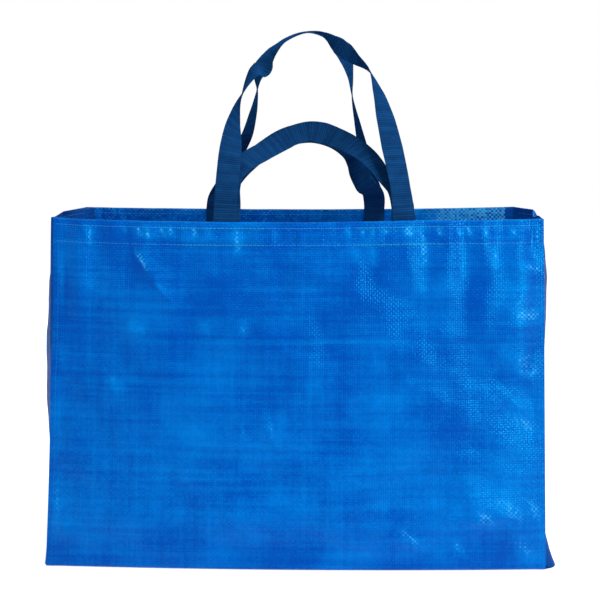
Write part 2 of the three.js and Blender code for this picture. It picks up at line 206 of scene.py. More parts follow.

# %% [markdown]
# Glints on the film are painted into the colour of the front: on its creases, in the puckers of its hem and
# beside its seams, where single tapes shine one by one. They are a second list of strokes, and they change
# the colour of the cloth instead of its shape.

# %% Painted glints of the front panel
# Each row is x0, z0, x1, z1, reach to either side, all in millimetres, and the painted light in its middle.
FRONT_GLINTS = [
    (-213, 429, -191, 395, 3, 0.72),
    (-182, 384, -172, 371, 3, 0.6),
    (-203, 430, -184, 396, 9, 0.42),
    (-308, 424, -308, 354, 4, 0.45),
    (-309, 304, -309, 262, 4, 0.3),
    (-222, 330, -196, 318, 9, 0.5),
    (-72, 336, -66, 312, 9, 0.54),
    (-128, 330, -108, 318, 8, 0.36),
    (-246, 262, -228, 236, 7, 0.42),
    (-108, 270, -90, 250, 9, 0.22),
    (-216, 307, 216, 306, 2.5, 0.35),
    (-270, 459, -269, 430, 4, 0.82),
    (-226, 457, -222, 446, 3, 0.72),
    (-207, 457, -203, 440, 4, 0.87),
    (-196, 458, -192, 436, 4, 0.87),
    (-177, 457, -172, 441, 4, 0.84),
    (-166, 457, -160, 441, 4, 0.82),
    (-134, 456, -131, 440, 4, 0.9),
    (-116, 455, -113, 440, 3, 0.67),
    (-78, 458, -76, 416, 5, 0.82),
    (66, 457, 68, 443, 4, 0.74),
    (84, 457, 87, 443, 3, 0.7),
    (98, 457, 100, 440, 3, 0.74),
    (115, 457, 117, 444, 4, 0.7),
    (76, 430, 81, 404, 5, 0.5),
    (98, 430, 102, 402, 6, 0.5),
    (143, 459, 148, 441, 7, 0.87),
    (162, 460, 167, 404, 7, 0.74),
    (163, 418, 160, 364, 10, 0.3),
    (183, 458, 188, 442, 4, 0.87),
    (211, 456, 213, 442, 4, 0.9),
    (222, 458, 226, 442, 4, 0.87),
    (244, 458, 246, 442, 4, 0.84),
    (280, 458, 284, 442, 6, 0.72),
    (216, 438, 218, 386, 9, 0.4),
    (256, 432, 260, 400, 5, 0.68),
    (148, 332, 182, 325, 11, 0.22),
    (276, 343, 323, 338, 10, 0.52),
    (252, 374, 330, 362, 28, 0.5),
    (290, 406, 323, 398, 6, 0.6),
    (306, 434, 316, 404, 11, 0.4),
    (286, 266, 303, 296, 7, 0.36),
    (290, 259, 323, 272, 10, 0.42),
    (256, 292, 330, 280, 18, 0.26),
    (311, 466, 312, 432, 3, 0.72),
    (-78, 208, -64, 172, 3.5, 0.26),
    (-39, 218, -34, 190, 4, 0.26),
    (-36, 200, -26, 170, 4, 0.3),
    (271, 216, 322, 184, 10, 0.42),
    (238, 88, 258, 60, 9, 0.38),
    (258, 98, 304, 68, 9, 0.34),
    (308, 100, 320, 66, 6, 0.36),
    (130, 60, 176, 28, 8, 0.34),
    (208, 42, 224, 16, 5, 0.42),
    (284, 52, 320, 8, 9, 0.38),
    (-311, 250, -316, 140, 4, 0.18),
    (-316, 140, -321, 24, 5, 0.18),
]
print(len(FRONT_GLINTS), "rubbed strokes")

# %% [markdown]
# The hem is two layers of cloth with two rows of stitches, and the thread draws it into small upright
# puckers. Where webbing is sewn in, the hem is too stiff to pucker. Near the side seams and the base fold
# four layers or a sharp corner hold the cloth straight, so all dents fade out there.

# %% Sizes of the dents
FRONT_PAIR = dict(side=FRONT, offset=23 * MM, spacing=233 * MM)
REAR_PAIR = dict(side=REAR, offset=-6 * MM, spacing=236 * MM)
UPPER_ROW, LOWER_ROW = 8 * MM, 30 * MM
BROAD_WAVES, SMALL_WAVES = (1.2, 90, 240, 3), (0.32, 28, 60, 7)
HANGING_WAVES, HANGING_REACH, HANGING_STRETCH = (0.9, 26, 60, 31), 120 * MM, 0.1
PUCKER_WAVES, PUCKER_REACH, PUCKER_STRETCH = (0.5, 10, 24, 11), 15 * MM, 0.25
LEG_STIFFNESS, SEAM_HOLD, BASE_HOLD = 14 * MM, 26 * MM, 34 * MM
STIFF_FROM, STIFF_FADE, STIFF_SHARE = 400 * MM, 50 * MM, 0.35
ALLOWANCE_PRINT, PRINT_WIDTH, PRINT_FADE = 0.5 * MM, 7 * MM, 8 * MM
BASE_BULGE, BASE_BULGE_AT, BASE_BULGE_REACH = 3.2 * MM, 66 * MM, 28 * MM
print("puckers between", UPPER_ROW, "and", LOWER_ROW, "below the rim")


# %% Dents of the panels
def leg_places(pair):
    """Places of a handle's two legs along the width of its panel: offset -+ half the spacing."""
    return [pair["offset"] + end * pair["spacing"] / 2 for end in (-1, 1)]


def puckers(side, x, below_rim):
    """Steep waves 10 to 24 mm long that are tallest midway between the stitch rows. None are within 14 mm of
    the middle of a handle's leg."""
    legs = leg_places(FRONT_PAIR if side == FRONT else REAR_PAIR)
    slack = np.prod([soft_step(abs(x - leg) / LEG_STIFFNESS - 1) for leg in legs], axis=0)
    steep = waves(x, PUCKER_STRETCH * below_rim, PUCKER_WAVES, side)
    return steep * slack * bell(below_rim - (UPPER_ROW + LOWER_ROW) / 2, PUCKER_REACH)


def panel_dents(side, across, rise):
    """Outward dents of a panel: folds + random waves + upright waves that hang from the hem + puckers + a
    bulge above the base, all held at the edges, and the print of the seam allowance beside each edge."""
    x, z = np.broadcast_arrays(across * mix(BASE_WIDTH, RIM_WIDTH, rise) / 2, rise * PANEL_RISE)
    from_edge = (1 - np.abs(across)) * RIM_WIDTH / 2
    held = soft_step(from_edge / SEAM_HOLD) * soft_step(z / BASE_HOLD)
    stiff_rim = mix(1, STIFF_SHARE, soft_step((z - STIFF_FROM) / STIFF_FADE))
    dents = folds(x, z, FRONT_FOLDS if side == FRONT else REAR_FOLDS)
    dents += stiff_rim * (waves(x, z, BROAD_WAVES, side) + waves(x, z, SMALL_WAVES, side))
    hanging = waves(x, HANGING_STRETCH * z, HANGING_WAVES, side)
    dents += hanging * bell(PANEL_RISE - z, HANGING_REACH)
    dents += BASE_BULGE * bell(z - BASE_BULGE_AT, BASE_BULGE_REACH)
    dents += puckers(side, x, PANEL_RISE - z)
    print_through = ALLOWANCE_PRINT * (1 - soft_step((from_edge - PRINT_WIDTH) / PRINT_FADE))
    return dents * held + print_through


print("dent in the middle of the front:", panel_dents(FRONT, np.zeros(1), 0.5).round(5))

# %% Surface of the panels
LEFT_SPREAD, SPREAD_HEIGHT, SPREAD_EASE, SPREAD_ZONE = 4.5 * MM, 0.45, 1.5, 0.2
EDGE_PULL, PULL_FROM, PULL_FADE, PULL_ZONE = 2.6 * MM, 0.5, 0.2, 0.25
TAUT_FADE, FRONT_LIFT_POWER, REAR_LIFT_POWER = 0.6, 8, 2


def left_spread(rise):
    """How far the lower left edges of the panels spread: spread (1 - rise / 0.45)^1.5, and none above."""
    return LEFT_SPREAD * np.maximum(0, 1 - rise / SPREAD_HEIGHT) ** SPREAD_EASE


def left_zone(across, share):
    """0 over most of a panel, rising to 1 at its left edge over a share of its half width."""
    return soft_step((share - 1 - across) / share)


def panel_point(side, across, rise, inward=0.0):
    """Middle of a panel's cloth. Across runs from -1 to 1 and rise from 0 at the base fold to 1 at the rim.
    Depth = half the bag's depth + bow (1 - across^2) + dents, and inward is a step into the bag. The rim
    sags between its corners, less so on the right of the front, and the corners stand up. The upper left
    edge of the front is pulled in a little."""
    crown = 1 - across**2
    bow = mix(BASE_BOW, RIM_BOW, rise) + PANEL_SWELL * np.sin(np.pi * rise)
    depth = mix(BASE_DEPTH, RIM_DEPTH, rise) / 2 + bow * crown + panel_dents(side, across, rise)
    x = across * mix(BASE_WIDTH, RIM_WIDTH, rise) / 2
    x = x - left_spread(rise) * left_zone(across, SPREAD_ZONE)
    if side == FRONT:
        x = x + EDGE_PULL * soft_step((rise - PULL_FROM) / PULL_FADE) * left_zone(across, PULL_ZONE)
        sag = FRONT_SAG * crown * mix(1, TAUT_SHARE, soft_step(across / TAUT_FADE))
        lift = mix(*FRONT_LIFT, (1 + across) / 2) * across**FRONT_LIFT_POWER
    else:
        sag = REAR_SAG * crown
        lift = mix(*REAR_LIFT, (1 + across) / 2) * across**REAR_LIFT_POWER
    z = PANEL_FOOT + rise * (PANEL_RISE - sag + lift)
    return np.stack(np.broadcast_arrays(x, side * (depth - inward), z), -1)


def rise_below(distance):
    """Rise of a point that lies a distance below the rim."""
    return 1 - distance / PANEL_RISE


print("middle of the front rim at", panel_point(FRONT, np.zeros(1), 1.0)[0].round(4))

# %% [markdown]
# A sheet of cloth becomes a closed mesh. Solidify could thicken a single surface, but at a folded hem the
# thickness has to follow the turn exactly, so both faces are worked out here: the grid of middle points is
# copied half a thickness to either side along its normals, and a strip closes the edge. Each face keeps its
# own material slot, because the film is on the outside only. A UV map holds the flat cut in metres.

# %% Grids of points
def directions(points, axis):
    """Direction at each point along one axis of a grid: the mean of the unit steps before and after it."""
    steps = unit(np.diff(points, axis=axis))
    first, last = np.take(steps, [0], axis), np.take(steps, [-1], axis)
    return unit(np.concatenate([first, steps], axis) + np.concatenate([steps, last], axis))


def surface_normals(points):
    """Normals of a grid of points: direction along a column crossed with direction along a row."""
    return unit(np.cross(directions(points, 0), directions(points, 1)))


def grid_quads(rows, columns):
    """Corner numbers of the quads of a grid, in the order that faces along its normals."""
    corner = np.arange(rows * columns).reshape(rows, columns)
    return np.stack([corner[:-1, :-1], corner[1:, :-1], corner[1:, 1:], corner[:-1, 1:]], -1).reshape(-1, 4)


def edge_loop(rows, columns):
    """Corner numbers round the edge of a grid."""
    corner = np.arange(rows * columns).reshape(rows, columns)
    return np.concatenate([corner[:-1, 0], corner[-1, :-1], corner[:0:-1, -1], corner[0, :0:-1]])


print("3 by 4 points make", len(grid_quads(3, 4)), "quads and an edge of", len(edge_loop(3, 4)), "points")

# %% Cloth to mesh
SHARP_EDGE = np.radians(60)


def new_piece(name, points, faces, flat=0.0, painted_light_and_mark=0.0, slots=0):
    """Mesh object with a UV map of the flat cut, a value at each point for painted light on cloth and for
    marked rows of thread, and a slot for each face.
    """
    mesh = bpy.data.meshes.new(name)
    mesh.from_pydata(points.tolist(), [], faces)
    corners = np.empty(len(mesh.loops), np.int32)
    mesh.loops.foreach_get("vertex_index", corners)
    flat = np.broadcast_to(flat, (len(points), 2)).astype(np.float32)
    painted_light_and_mark = np.broadcast_to(painted_light_and_mark, len(points)).astype(np.float32)
    slots = np.broadcast_to(slots, len(faces)).astype(np.int32)
    mesh.uv_layers.new(name="flat").uv.foreach_set("vector", flat[corners].ravel())
    mesh.attributes.new("painted_light_and_mark", "FLOAT", "POINT").data.foreach_set("value", painted_light_and_mark)
    mesh.polygons.foreach_set("material_index", slots)
    mesh.polygons.foreach_set("use_smooth", np.ones(len(faces), bool))
    mesh.set_sharp_from_angle(angle=SHARP_EDGE)
    mesh.update()
    piece = bpy.data.objects.new(name, mesh)
    bpy.context.scene.collection.objects.link(piece)
    print(name, "has", len(points), "points and", len(faces), "faces")
    return piece


def cloth_piece(name, points, flat, painted_light_and_mark):
    """Closed sheet of cloth round a grid of middle points."""
    rows, columns = points.shape[:2]
    half = surface_normals(points) * CLOTH / 2
    both = np.concatenate([(points + half).reshape(-1, 3), (points - half).reshape(-1, 3)])
    outer = grid_quads(rows, columns)
    inner = outer[:, ::-1] + rows * columns
    loop = edge_loop(rows, columns)
    ahead = np.roll(loop, -1)
    strip = np.stack([ahead, loop, loop + rows * columns, ahead + rows * columns], -1)
    faces = np.concatenate([outer, inner, strip]).tolist()
    slots = np.repeat([0, 1, 0], [len(outer), len(inner), len(strip)])
    flat = np.tile(flat.reshape(-1, 2), (2, 1))
    return new_piece(name, both, faces, flat, np.tile(painted_light_and_mark.ravel(), 2), slots)


# %% [markdown]
# One strip of cloth makes the front, the base and the rear. Its rows start at the free edge of the front
# hem, turn over the rim, run down the front, along the floor and up the rear. Rows crowd together at the
# folds, and columns at the side seams, where the cloth bends most.

# %% Rows and columns of the body
LEFT_FLARE, RIGHT_FLARE, FOOT_SQUARENESS = 6 * MM, 18 * MM, 20
HEM_ROWS = np.array([0.6, 1.1, 2, 3.5, 5.5, 8, 11, 14.5, 18.5, 23, 27.5, 32]) * MM
FOLD_TURNS = np.radians([0, 45, 90, 135, 180])
BASE_TURNS = np.radians([22.5, 45, 67.5, 90])
BASE_ROWS = np.array([0.99, 0.97, 0.945, 0.91, 0.86, 0.78, 0.66, 0.5, 0.32, 0.16])
EDGE_COLUMNS = np.array([0, 1.4, 3, 5, 7, 9, 11, 13.5, 16.5]) * MM
COLUMN_STEP, FRONT_STEP, REAR_STEP = 4.4 * MM, 3.3 * MM, 5.0 * MM


def panel_rows(spacing):
    """Rise, inward step and lift of each row of a panel, from the free hem over the rim to the base."""
    wall = rise_below(np.arange(HEM_ROWS[-1] + spacing, PANEL_RISE - spacing / 2, spacing))
    wall = np.concatenate([rise_below(HEM_ROWS), wall, [0.0]])
    hem = rise_below(HEM_ROWS[::-1])
    rise = np.concatenate([hem, np.full(FOLD_TURNS.size, rise_below(HEM_FOLD)), wall, 0 * BASE_TURNS])
    inward = np.concatenate([
        np.full(hem.size, LAYER_STEP), HEM_FOLD * (1 + np.cos(FOLD_TURNS)), 0 * wall,
        BASE_FOLD * (1 - np.cos(BASE_TURNS))])
    lift = np.concatenate([
        0 * hem, HEM_FOLD * np.sin(FOLD_TURNS), 0 * wall, -BASE_FOLD * np.sin(BASE_TURNS)])
    return rise[:, None], inward[:, None], lift[:, None]


inner_columns = np.arange(EDGE_COLUMNS[-1] + COLUMN_STEP, BASE_WIDTH / 2, COLUMN_STEP) * 2 / BASE_WIDTH
right_half = np.unique(np.concatenate([1 - EDGE_COLUMNS * 2 / BASE_WIDTH, 1 - inner_columns, [0.0]]))
across = np.concatenate([-right_half[:0:-1], right_half])[None, :]
print(across.size, "columns across the bag")

# %% [markdown]
# Light and shade are painted onto the cloth as one number at each point: a highlight where the cloth turns
# over the rim, a lighter turned-in hem, since the inside of the bag gets less light, with a sheen towards its
# right end, and lighter lower panels, where the floor throws light back up. A painted image could hold this,
# but one number at each point is enough, and it stays with the cloth. The materials read it as painted light.

# %% Painted light of the panels
# The rim value is a painted highlight along the fold over the rim. The gussets' rims share it.
RIM_HIGHLIGHT, RIM_HIGHLIGHT_REACH, BASE_WEAR = 0.4, 1.6 * MM, 0.3
# The lower part of the panels is painted lighter, where the floor throws light back up, and a little less so
# at the foot.
LOW_PAINTED_LIGHT, LOW_FROM, LOW_FADE, FOOT_SHARE, FOOT_HEIGHT = 0.36, 0.85, 0.7, 0.5, 0.2
# The turned-in hem is painted lighter, since the inside of the bag gets less light, and towards its right end
# a painted sheen is added.
INNER_HEM_LIGHT, INNER_HEM_SHEEN, SHEEN_FROM, SHEEN_FADE = 0.52, 0.5, 0.56, 0.16
STROKE_SHARPNESS = 2.0


def rim_highlight(rise):
    """Painted highlight where the cloth turns over the rim: 0.4 exp(-(distance below the rim / 1.6 mm)^2)."""
    return RIM_HIGHLIGHT * bell((1 - rise) * PANEL_RISE, RIM_HIGHLIGHT_REACH)


def panel_painted_light(side, across, rise, points):
    """Painted light of a panel: slight along the rim, as a highlight, and over its lower part, where the
    floor throws light back up; strong on the turned-in hem, which gets less light, and most of all at the
    hem's right end, as a sheen; and on the front also in the painted glints."""
    low = LOW_PAINTED_LIGHT * soft_step((LOW_FROM - rise) / LOW_FADE)
    low = low * mix(FOOT_SHARE, 1, soft_step(rise / FOOT_HEIGHT))
    painted_light_and_mark = np.broadcast_to(rim_highlight(rise) + low, points.shape[:2]).copy()
    hem = HEM_ROWS.size
    painted_light_and_mark[:hem] += INNER_HEM_LIGHT + INNER_HEM_SHEEN * soft_step((across - SHEEN_FROM) / SHEEN_FADE)
    if side == FRONT:
        strokes = [(*row[:4], row[5], row[4], row[4], STROKE_SHARPNESS) for row in FRONT_GLINTS]
        painted_light_and_mark[hem:] += folds(points[hem:, :, 0], points[hem:, :, 2], strokes) / MM
    return painted_light_and_mark


print("wear on the rim and 2 mm below it:", rim_highlight(rise_below(np.array([0, 2 * MM]))).round(3))

# %% [markdown]
# Now the strip is put together. The rows of the front, of the base and of the rear, turned round, are one
# grid. Three meshes that meet at the base folds would be simpler to think of, but a single grid runs on
# without a seam from rim to rim, and so does the weave that is drawn on it.

# %% Body of the bag
def panel_grid(side, across, spacing):
    """Points of one panel, from its free hem over the rim to the base fold, and their painted light."""
    rise, inward, lift = panel_rows(spacing)
    points = panel_point(side, across, rise, inward)
    points[..., 2] += lift
    return points, panel_painted_light(side, across, rise, points)


def foot_flare(across, along):
    """How far the base widens between its corners: flare (1 - along^20)."""
    return np.where(across < 0, LEFT_FLARE, RIGHT_FLARE) * (1 - along**FOOT_SQUARENESS)


def base_grid(across):
    """Points of the base: x widens by the flare, y runs between the two folds, z is half a thickness."""
    along = np.concatenate([-BASE_ROWS, [0.0], BASE_ROWS[::-1]])[:, None]
    edge = panel_point(REAR, across, 0.0, BASE_FOLD)
    x = edge[..., 0] + across * foot_flare(across, along)
    return np.stack(np.broadcast_arrays(x, along * edge[..., 1], CLOTH / 2), -1)


front, front_painted_light = panel_grid(FRONT, across, FRONT_STEP)
rear, rear_painted_light = panel_grid(REAR, across, REAR_STEP)
base = base_grid(across)
body_points = np.concatenate([front, base, rear[::-1]])
body_painted_light = np.concatenate([front_painted_light, np.full(base.shape[:2], BASE_WEAR), rear_painted_light[::-1]])
down = run_length(body_points[:, across.size // 2])
body_flat = np.stack(np.broadcast_arrays(across * BASE_WIDTH / 2, down[:, None]), -1)
body = cloth_piece("body_cloth", body_points, body_flat, body_painted_light)
print("flat cut of the body", BASE_WIDTH, "by", round(down[-1], 3))

# %% [markdown]
# Each side is closed by a gusset. It was pressed flat with a crease down its middle, and on the open bag
# that crease still stands out as a ridge. Where the gusset was folded up for storage, two more creases run
# from the bottom corners to the ridge. Its side edges turn in against the panels as seam allowances.

# %% Sizes of the gussets
FLARE_HEIGHT, FLARE_EASE, RIDGE_FULLNESS = 70 * MM, 1.5, 0.6
LEFT_GUSSET = dict(
    side=-1, crest=0.16, rim_ridge=13 * MM, swell=32 * MM, skew=0.85, flare=LEFT_FLARE, sag=-1 * MM,
    dip=0, roll=2.5 * MM, inner_hem_light=0.5)
RIGHT_GUSSET = dict(
    side=1, crest=0.54, rim_ridge=18 * MM, swell=26 * MM, skew=1.9, flare=RIGHT_FLARE, sag=-1.5 * MM,
    dip=10 * MM, roll=0.6 * MM, inner_hem_light=0.25)
GUSSET_FOLDS = [
    (-92, 40, -14, 150, -1.6, 7, 12, 1.0),
    (92, 40, 24, 150, -1.6, 12, 7, 1.0),
    (-70, 330, -20, 268, 1.2, 8, 14, 1.2),
    (30, 402, 74, 344, 1.2, 12, 8, 1.2),
    (-60, 214, -34, 168, 1.0, 6, 9, 1.0),
    (52, 238, 78, 204, 1.0, 7, 10, 1.0),
]
CREST_SHARES = np.concatenate([
    np.linspace(0, 0.1, 4), np.linspace(0.14, 0.94, 21), [0.965, 0.98, 0.99, 0.997]])
print(len(GUSSET_FOLDS), "folds in each gusset")

# %% Surface of the gussets
GUSSET_BROAD_WAVES, GUSSET_SMALL_WAVES = (0.45, 70, 160, 20), (0.15, 20, 44, 24)
CORNER_HOLD, FOOT_HOLD = 18 * MM, 40 * MM
HEM_STIFF_FROM, HEM_STIFF_FADE, HEM_STIFF_SHARE = 410 * MM, 40 * MM, 0.4
ROLL_AT, ROLL_FROM, ROLL_FADE = 5 * MM, 0.4, 0.3
DIP_START, DIP_END = 0.05, 0.75
FRONT_CORNER_POWER, REAR_CORNER_POWER = 8, 4


def gusset_dents(gusset, along, rise):
    """Outward dents of a gusset: folds and random waves that fade at its corners, foot and hem."""
    y, z = np.broadcast_arrays(along * BASE_DEPTH / 2, rise * PANEL_RISE)
    held = soft_step((1 - np.abs(along)) * BASE_DEPTH / 2 / CORNER_HOLD) * soft_step(z / FOOT_HOLD)
    held = held * mix(1, HEM_STIFF_SHARE, soft_step((z - HEM_STIFF_FROM) / HEM_STIFF_FADE))
    dents = folds(y, z, GUSSET_FOLDS)
    for kind in (GUSSET_BROAD_WAVES, GUSSET_SMALL_WAVES):
        dents += waves(y, z, kind, gusset["side"])
    return held * dents


def gusset_reach(gusset, along, rise):
    """Reach of a gusset past the panel edges: ridge * share of the way to the crest + foot flare + dents +
    roll of the front seam, where ridge = rim ridge * rise + swell sin(pi rise^skew)^0.6."""
    crest = gusset["crest"]
    corner = np.where(along < crest, -1.0, 1.0)
    arch = np.maximum(0, np.sin(np.pi * rise ** gusset["skew"])) ** RIDGE_FULLNESS
    ridge = gusset["rim_ridge"] * rise + gusset["swell"] * arch
    foot = np.maximum(0, 1 - rise * PANEL_RISE / FLARE_HEIGHT) ** FLARE_EASE
    from_front = (1 + along) * BASE_DEPTH / 2
    reach = ridge * (along - corner) / (crest - corner)
    reach = reach + foot * gusset["flare"] * (1 - along**FOOT_SQUARENESS)
    roll = gusset["roll"] * soft_step((rise - ROLL_FROM) / ROLL_FADE) * bell(from_front - ROLL_AT, ROLL_AT)
    return reach + gusset_dents(gusset, along, rise) + roll


def gusset_height(gusset, along, rise):
    """Height of a gusset's points, from its foot, which follows the base folds at its corners, to its rim.
    The rim dips just before the crest, where the cloth folds, and stands up at the corners, as on the
    panels."""
    crest = gusset["crest"]
    to_fold = np.clip((1 - np.abs(along)) * BASE_DEPTH / 2 / BASE_FOLD, 0, 1)
    bottom = LAYER_STEP + PANEL_FOOT * (1 - np.sqrt(1 - (1 - to_fold) ** 2))
    before_crest = (crest - along) / (crest + 1)
    dip = gusset["dip"] * soft_step(before_crest / DIP_START) * (1 - soft_step(before_crest / DIP_END))
    end = 0 if gusset["side"] < 0 else 1
    lift = FRONT_LIFT[end] * (0.5 - along / 2) ** FRONT_CORNER_POWER
    lift = lift + REAR_LIFT[end] * (0.5 + along / 2) ** REAR_CORNER_POWER
    return mix(bottom, BAG_HEIGHT - gusset["sag"] * (1 - along**2) - dip + lift, rise)


def gusset_point(gusset, along, rise, inward=0.0):
    """Wall of a gusset. Along runs from -1 at the front to 1 at the rear: x = half the bag's width + reach,
    y = along * half its depth, and inward is a step into the bag."""
    x = mix(BASE_WIDTH, RIM_WIDTH, rise) / 2 - GUSSET_INSET + gusset_reach(gusset, along, rise) - inward
    if gusset["side"] < 0:
        x = x + left_spread(rise)
    half_depth = mix(BASE_DEPTH, RIM_DEPTH, rise) / 2 - 2 * LAYER_STEP - SEAM_BEND - inward
    z = gusset_height(gusset, along, rise)
    return np.stack(np.broadcast_arrays(gusset["side"] * x, along * half_depth, z), -1)


print("middle of the left gusset's rim at", gusset_point(LEFT_GUSSET, np.zeros(1), 1.0)[0].round(4))

# %% Seam allowances and rows of the gussets
HEM_STEP_BELOW, HEM_STEP_RUN = 4 * MM, 3.6 * MM
GUSSET_FOOT_ROWS, GUSSET_STEP = np.array([0, 1.5, 3.5, 6]) * MM, 4.0 * MM


def allowance_point(gusset, side, width, rise, inward=0.0):
    """Seam allowance of a gusset, a width in from the gusset's corner. It lies on the panel, and at the hem
    on the panel's turned-in layer."""
    edge = mix(BASE_WIDTH, RIM_WIDTH, rise) / 2
    x = edge - GUSSET_INSET - SEAM_BEND - width - inward
    below_hem = rise_below(HEM_ROWS[-1] + HEM_STEP_BELOW)
    at_hem = soft_step((rise - below_hem) * PANEL_RISE / HEM_STEP_RUN)
    layers = mix(SEWN_STEP, 2 * LAYER_STEP, at_hem)
    points = panel_point(side, gusset["side"] * x / edge, rise, layers + inward)
    points[..., 2] += LAYER_STEP * (1 - rise)
    return points


def gusset_rows():
    """Rise, inward step and lift of each row of a gusset, from its foot over the rim to its free hem."""
    top = PANEL_RISE - HEM_ROWS[-1] - GUSSET_STEP / 2
    wall = np.arange(GUSSET_FOOT_ROWS[-1] + GUSSET_STEP, top, GUSSET_STEP)
    wall = np.concatenate([GUSSET_FOOT_ROWS / PANEL_RISE, wall / PANEL_RISE, rise_below(HEM_ROWS[::-1])])
    hem = rise_below(HEM_ROWS)
    rise = np.concatenate([wall, np.full(FOLD_TURNS.size, rise_below(HEM_FOLD)), hem])
    inward = np.concatenate([0 * wall, HEM_FOLD * (1 - np.cos(FOLD_TURNS)), np.full(hem.size, LAYER_STEP)])
    lift = np.concatenate([0 * wall, HEM_FOLD * np.sin(FOLD_TURNS), 0 * hem])
    return rise[:, None], inward[:, None], lift[:, None]


print(len(gusset_rows()[0]), "rows in each gusset")

# %% Gussets
# The middle crease of each gusset gets a painted highlight.
CREASE_HIGHLIGHT, CREASE_REACH = 0.5, 2.4 * MM


def gusset_grid(gusset):
    """Points and painted light of a gusset: an allowance, the wall over the crest, and the other allowance.
    """
    rise, inward, lift = gusset_rows()
    crest = gusset["crest"]
    along = np.concatenate([mix(-1, crest, CREST_SHARES), [crest], mix(1, crest, CREST_SHARES)[::-1]])
    wall = gusset_point(gusset, along[None, :], rise, inward)
    widths = np.array([SEAM_ALLOWANCE, SEAM_ALLOWANCE / 2, 0.0])
    front_edge = allowance_point(gusset, FRONT, widths[None, :], rise, inward)
    rear_edge = allowance_point(gusset, REAR, widths[None, ::-1], rise, inward)
    points = np.concatenate([front_edge, wall, rear_edge], axis=1)
    points[..., 2] += lift
    crease = CREASE_HIGHLIGHT * bell((along - crest) * BASE_DEPTH / 2, CREASE_REACH)
    painted_light_and_mark = np.maximum(rim_highlight(rise), np.pad(crease, widths.size)[None, :])
    # The gusset's turned-in hem is painted lighter, since the inside of the bag gets less light.
    painted_light_and_mark[-HEM_ROWS.size:] += gusset["inner_hem_light"]
    return points, painted_light_and_mark


def gusset_piece(name, gusset):
    """Gusset cloth. The right one has its columns turned round, so that its outside faces out."""
    points, painted_light_and_mark = gusset_grid(gusset)
    if gusset["side"] > 0:
        points, painted_light_and_mark = points[:, ::-1], painted_light_and_mark[:, ::-1]
    u = run_length(points[points.shape[0] // 3])
    v = run_length(points[:, points.shape[1] // 2])
    flat = np.stack(np.broadcast_arrays(u[None, :], v[:, None]), -1)
    print("flat cut of", name, round(u[-1], 3), "by", round(v[-1], 3))
    return cloth_piece(name, points, flat, painted_light_and_mark)


left_gusset = gusset_piece("left_gusset_cloth", LEFT_GUSSET)
right_gusset = gusset_piece("right_gusset_cloth", RIGHT_GUSSET)

# %% [markdown]
# The handles are flat woven webbing. Each runs up out of the hem, twists, passes over the top and comes
# down to the hem again. A curve object with a bevel would do for a round cord, but it can't be told how
# webbing twists, so a profile is carried along a path here. The stations give the path and the twist.

# %% Stations of the handles
# Each row is [across, up, inward, turn]: shares of half the leg spacing, of the rise and of the way to the
# middle of the bag, and the turn of the webbing in degrees, where 90 and 270 face the front.
FRONT_LONG = [
    [-1, 0, 0, 90], [-0.985, 0.14, 0.04, 90], [-0.963, 0.3, 0.2, 92], [-0.945, 0.4, 0.33, 114],
    [-0.915, 0.53, 0.5, 150], [-0.85, 0.65, 0.62, 180], [-0.7, 0.788, 0.74, 216],
    [-0.612, 0.814, 0.78, 248], [-0.582, 0.845, 0.8, 232], [-0.553, 0.878, 0.81, 215],
    [-0.523, 0.9, 0.82, 206], [-0.486, 0.921, 0.82, 199], [-0.436, 0.94, 0.825, 195],
    [-0.337, 0.974, 0.83, 191], [-0.173, 1.006, 0.83, 188], [-0.04, 1.014, 0.83, 184],
    [0.117, 0.996, 0.83, 174], [0.26, 0.941, 0.82, 142], [0.37, 0.903, 0.81, 137],
    [0.471, 0.863, 0.79, 154], [0.632, 0.799, 0.74, 180], [0.737, 0.68, 0.64, 210],
    [0.812, 0.54, 0.5, 236], [0.881, 0.38, 0.31, 250], [0.96, 0.18, 0.08, 242],
    [0.993, 0.05, 0.01, 256], [1, 0, 0, 270],
]
REAR_LONG = [
    [-1, 0, 0, 90], [-0.985, 0.05, 0, 90], [-0.9, 0.13, 0.06, 116], [-0.8, 0.22, 0.18, 138],
    [-0.7, 0.33, 0.32, 148], [-0.58, 0.44, 0.48, 152], [-0.5, 0.56, 0.62, 163],
    [-0.445, 0.68, 0.72, 180], [-0.43, 0.76, 0.76, 206], [-0.34, 0.837, 0.79, 224],
    [-0.245, 0.9, 0.81, 206], [-0.11, 0.959, 0.83, 192], [0.15, 1.005, 0.83, 187],
    [0.35, 0.988, 0.82, 192], [0.535, 0.932, 0.8, 236], [0.62, 0.86, 0.78, 220],
    [0.672, 0.77, 0.74, 198], [0.702, 0.645, 0.65, 180], [0.772, 0.5, 0.495, 166],
    [0.875, 0.3, 0.24, 148], [0.925, 0.19, 0.12, 130], [0.99, 0.06, 0.01, 93], [1, 0, 0, 90],
]
FRONT_SHORT = [
    [-1, 0, 0, 90], [-1, 0.2, 0.06, 90], [-1.005, 0.38, 0.15, 80], [-0.96, 0.535, 0.28, 66],
    [-0.84, 0.662, 0.4, 60], [-0.617, 0.795, 0.65, 62], [-0.375, 0.935, 0.86, 76],
    [-0.31, 0.967, 0.91, 68], [-0.08, 1.027, 0.967, 64], [0.085, 1.003, 0.945, 80],
    [0.15, 0.985, 0.93, 70], [0.414, 0.865, 0.715, 60], [0.635, 0.703, 0.5, 50],
    [0.795, 0.508, 0.32, 42], [0.94, 0.35, 0.2, 56], [1, 0.17, 0.08, 84], [1, 0, 0, 90],
]
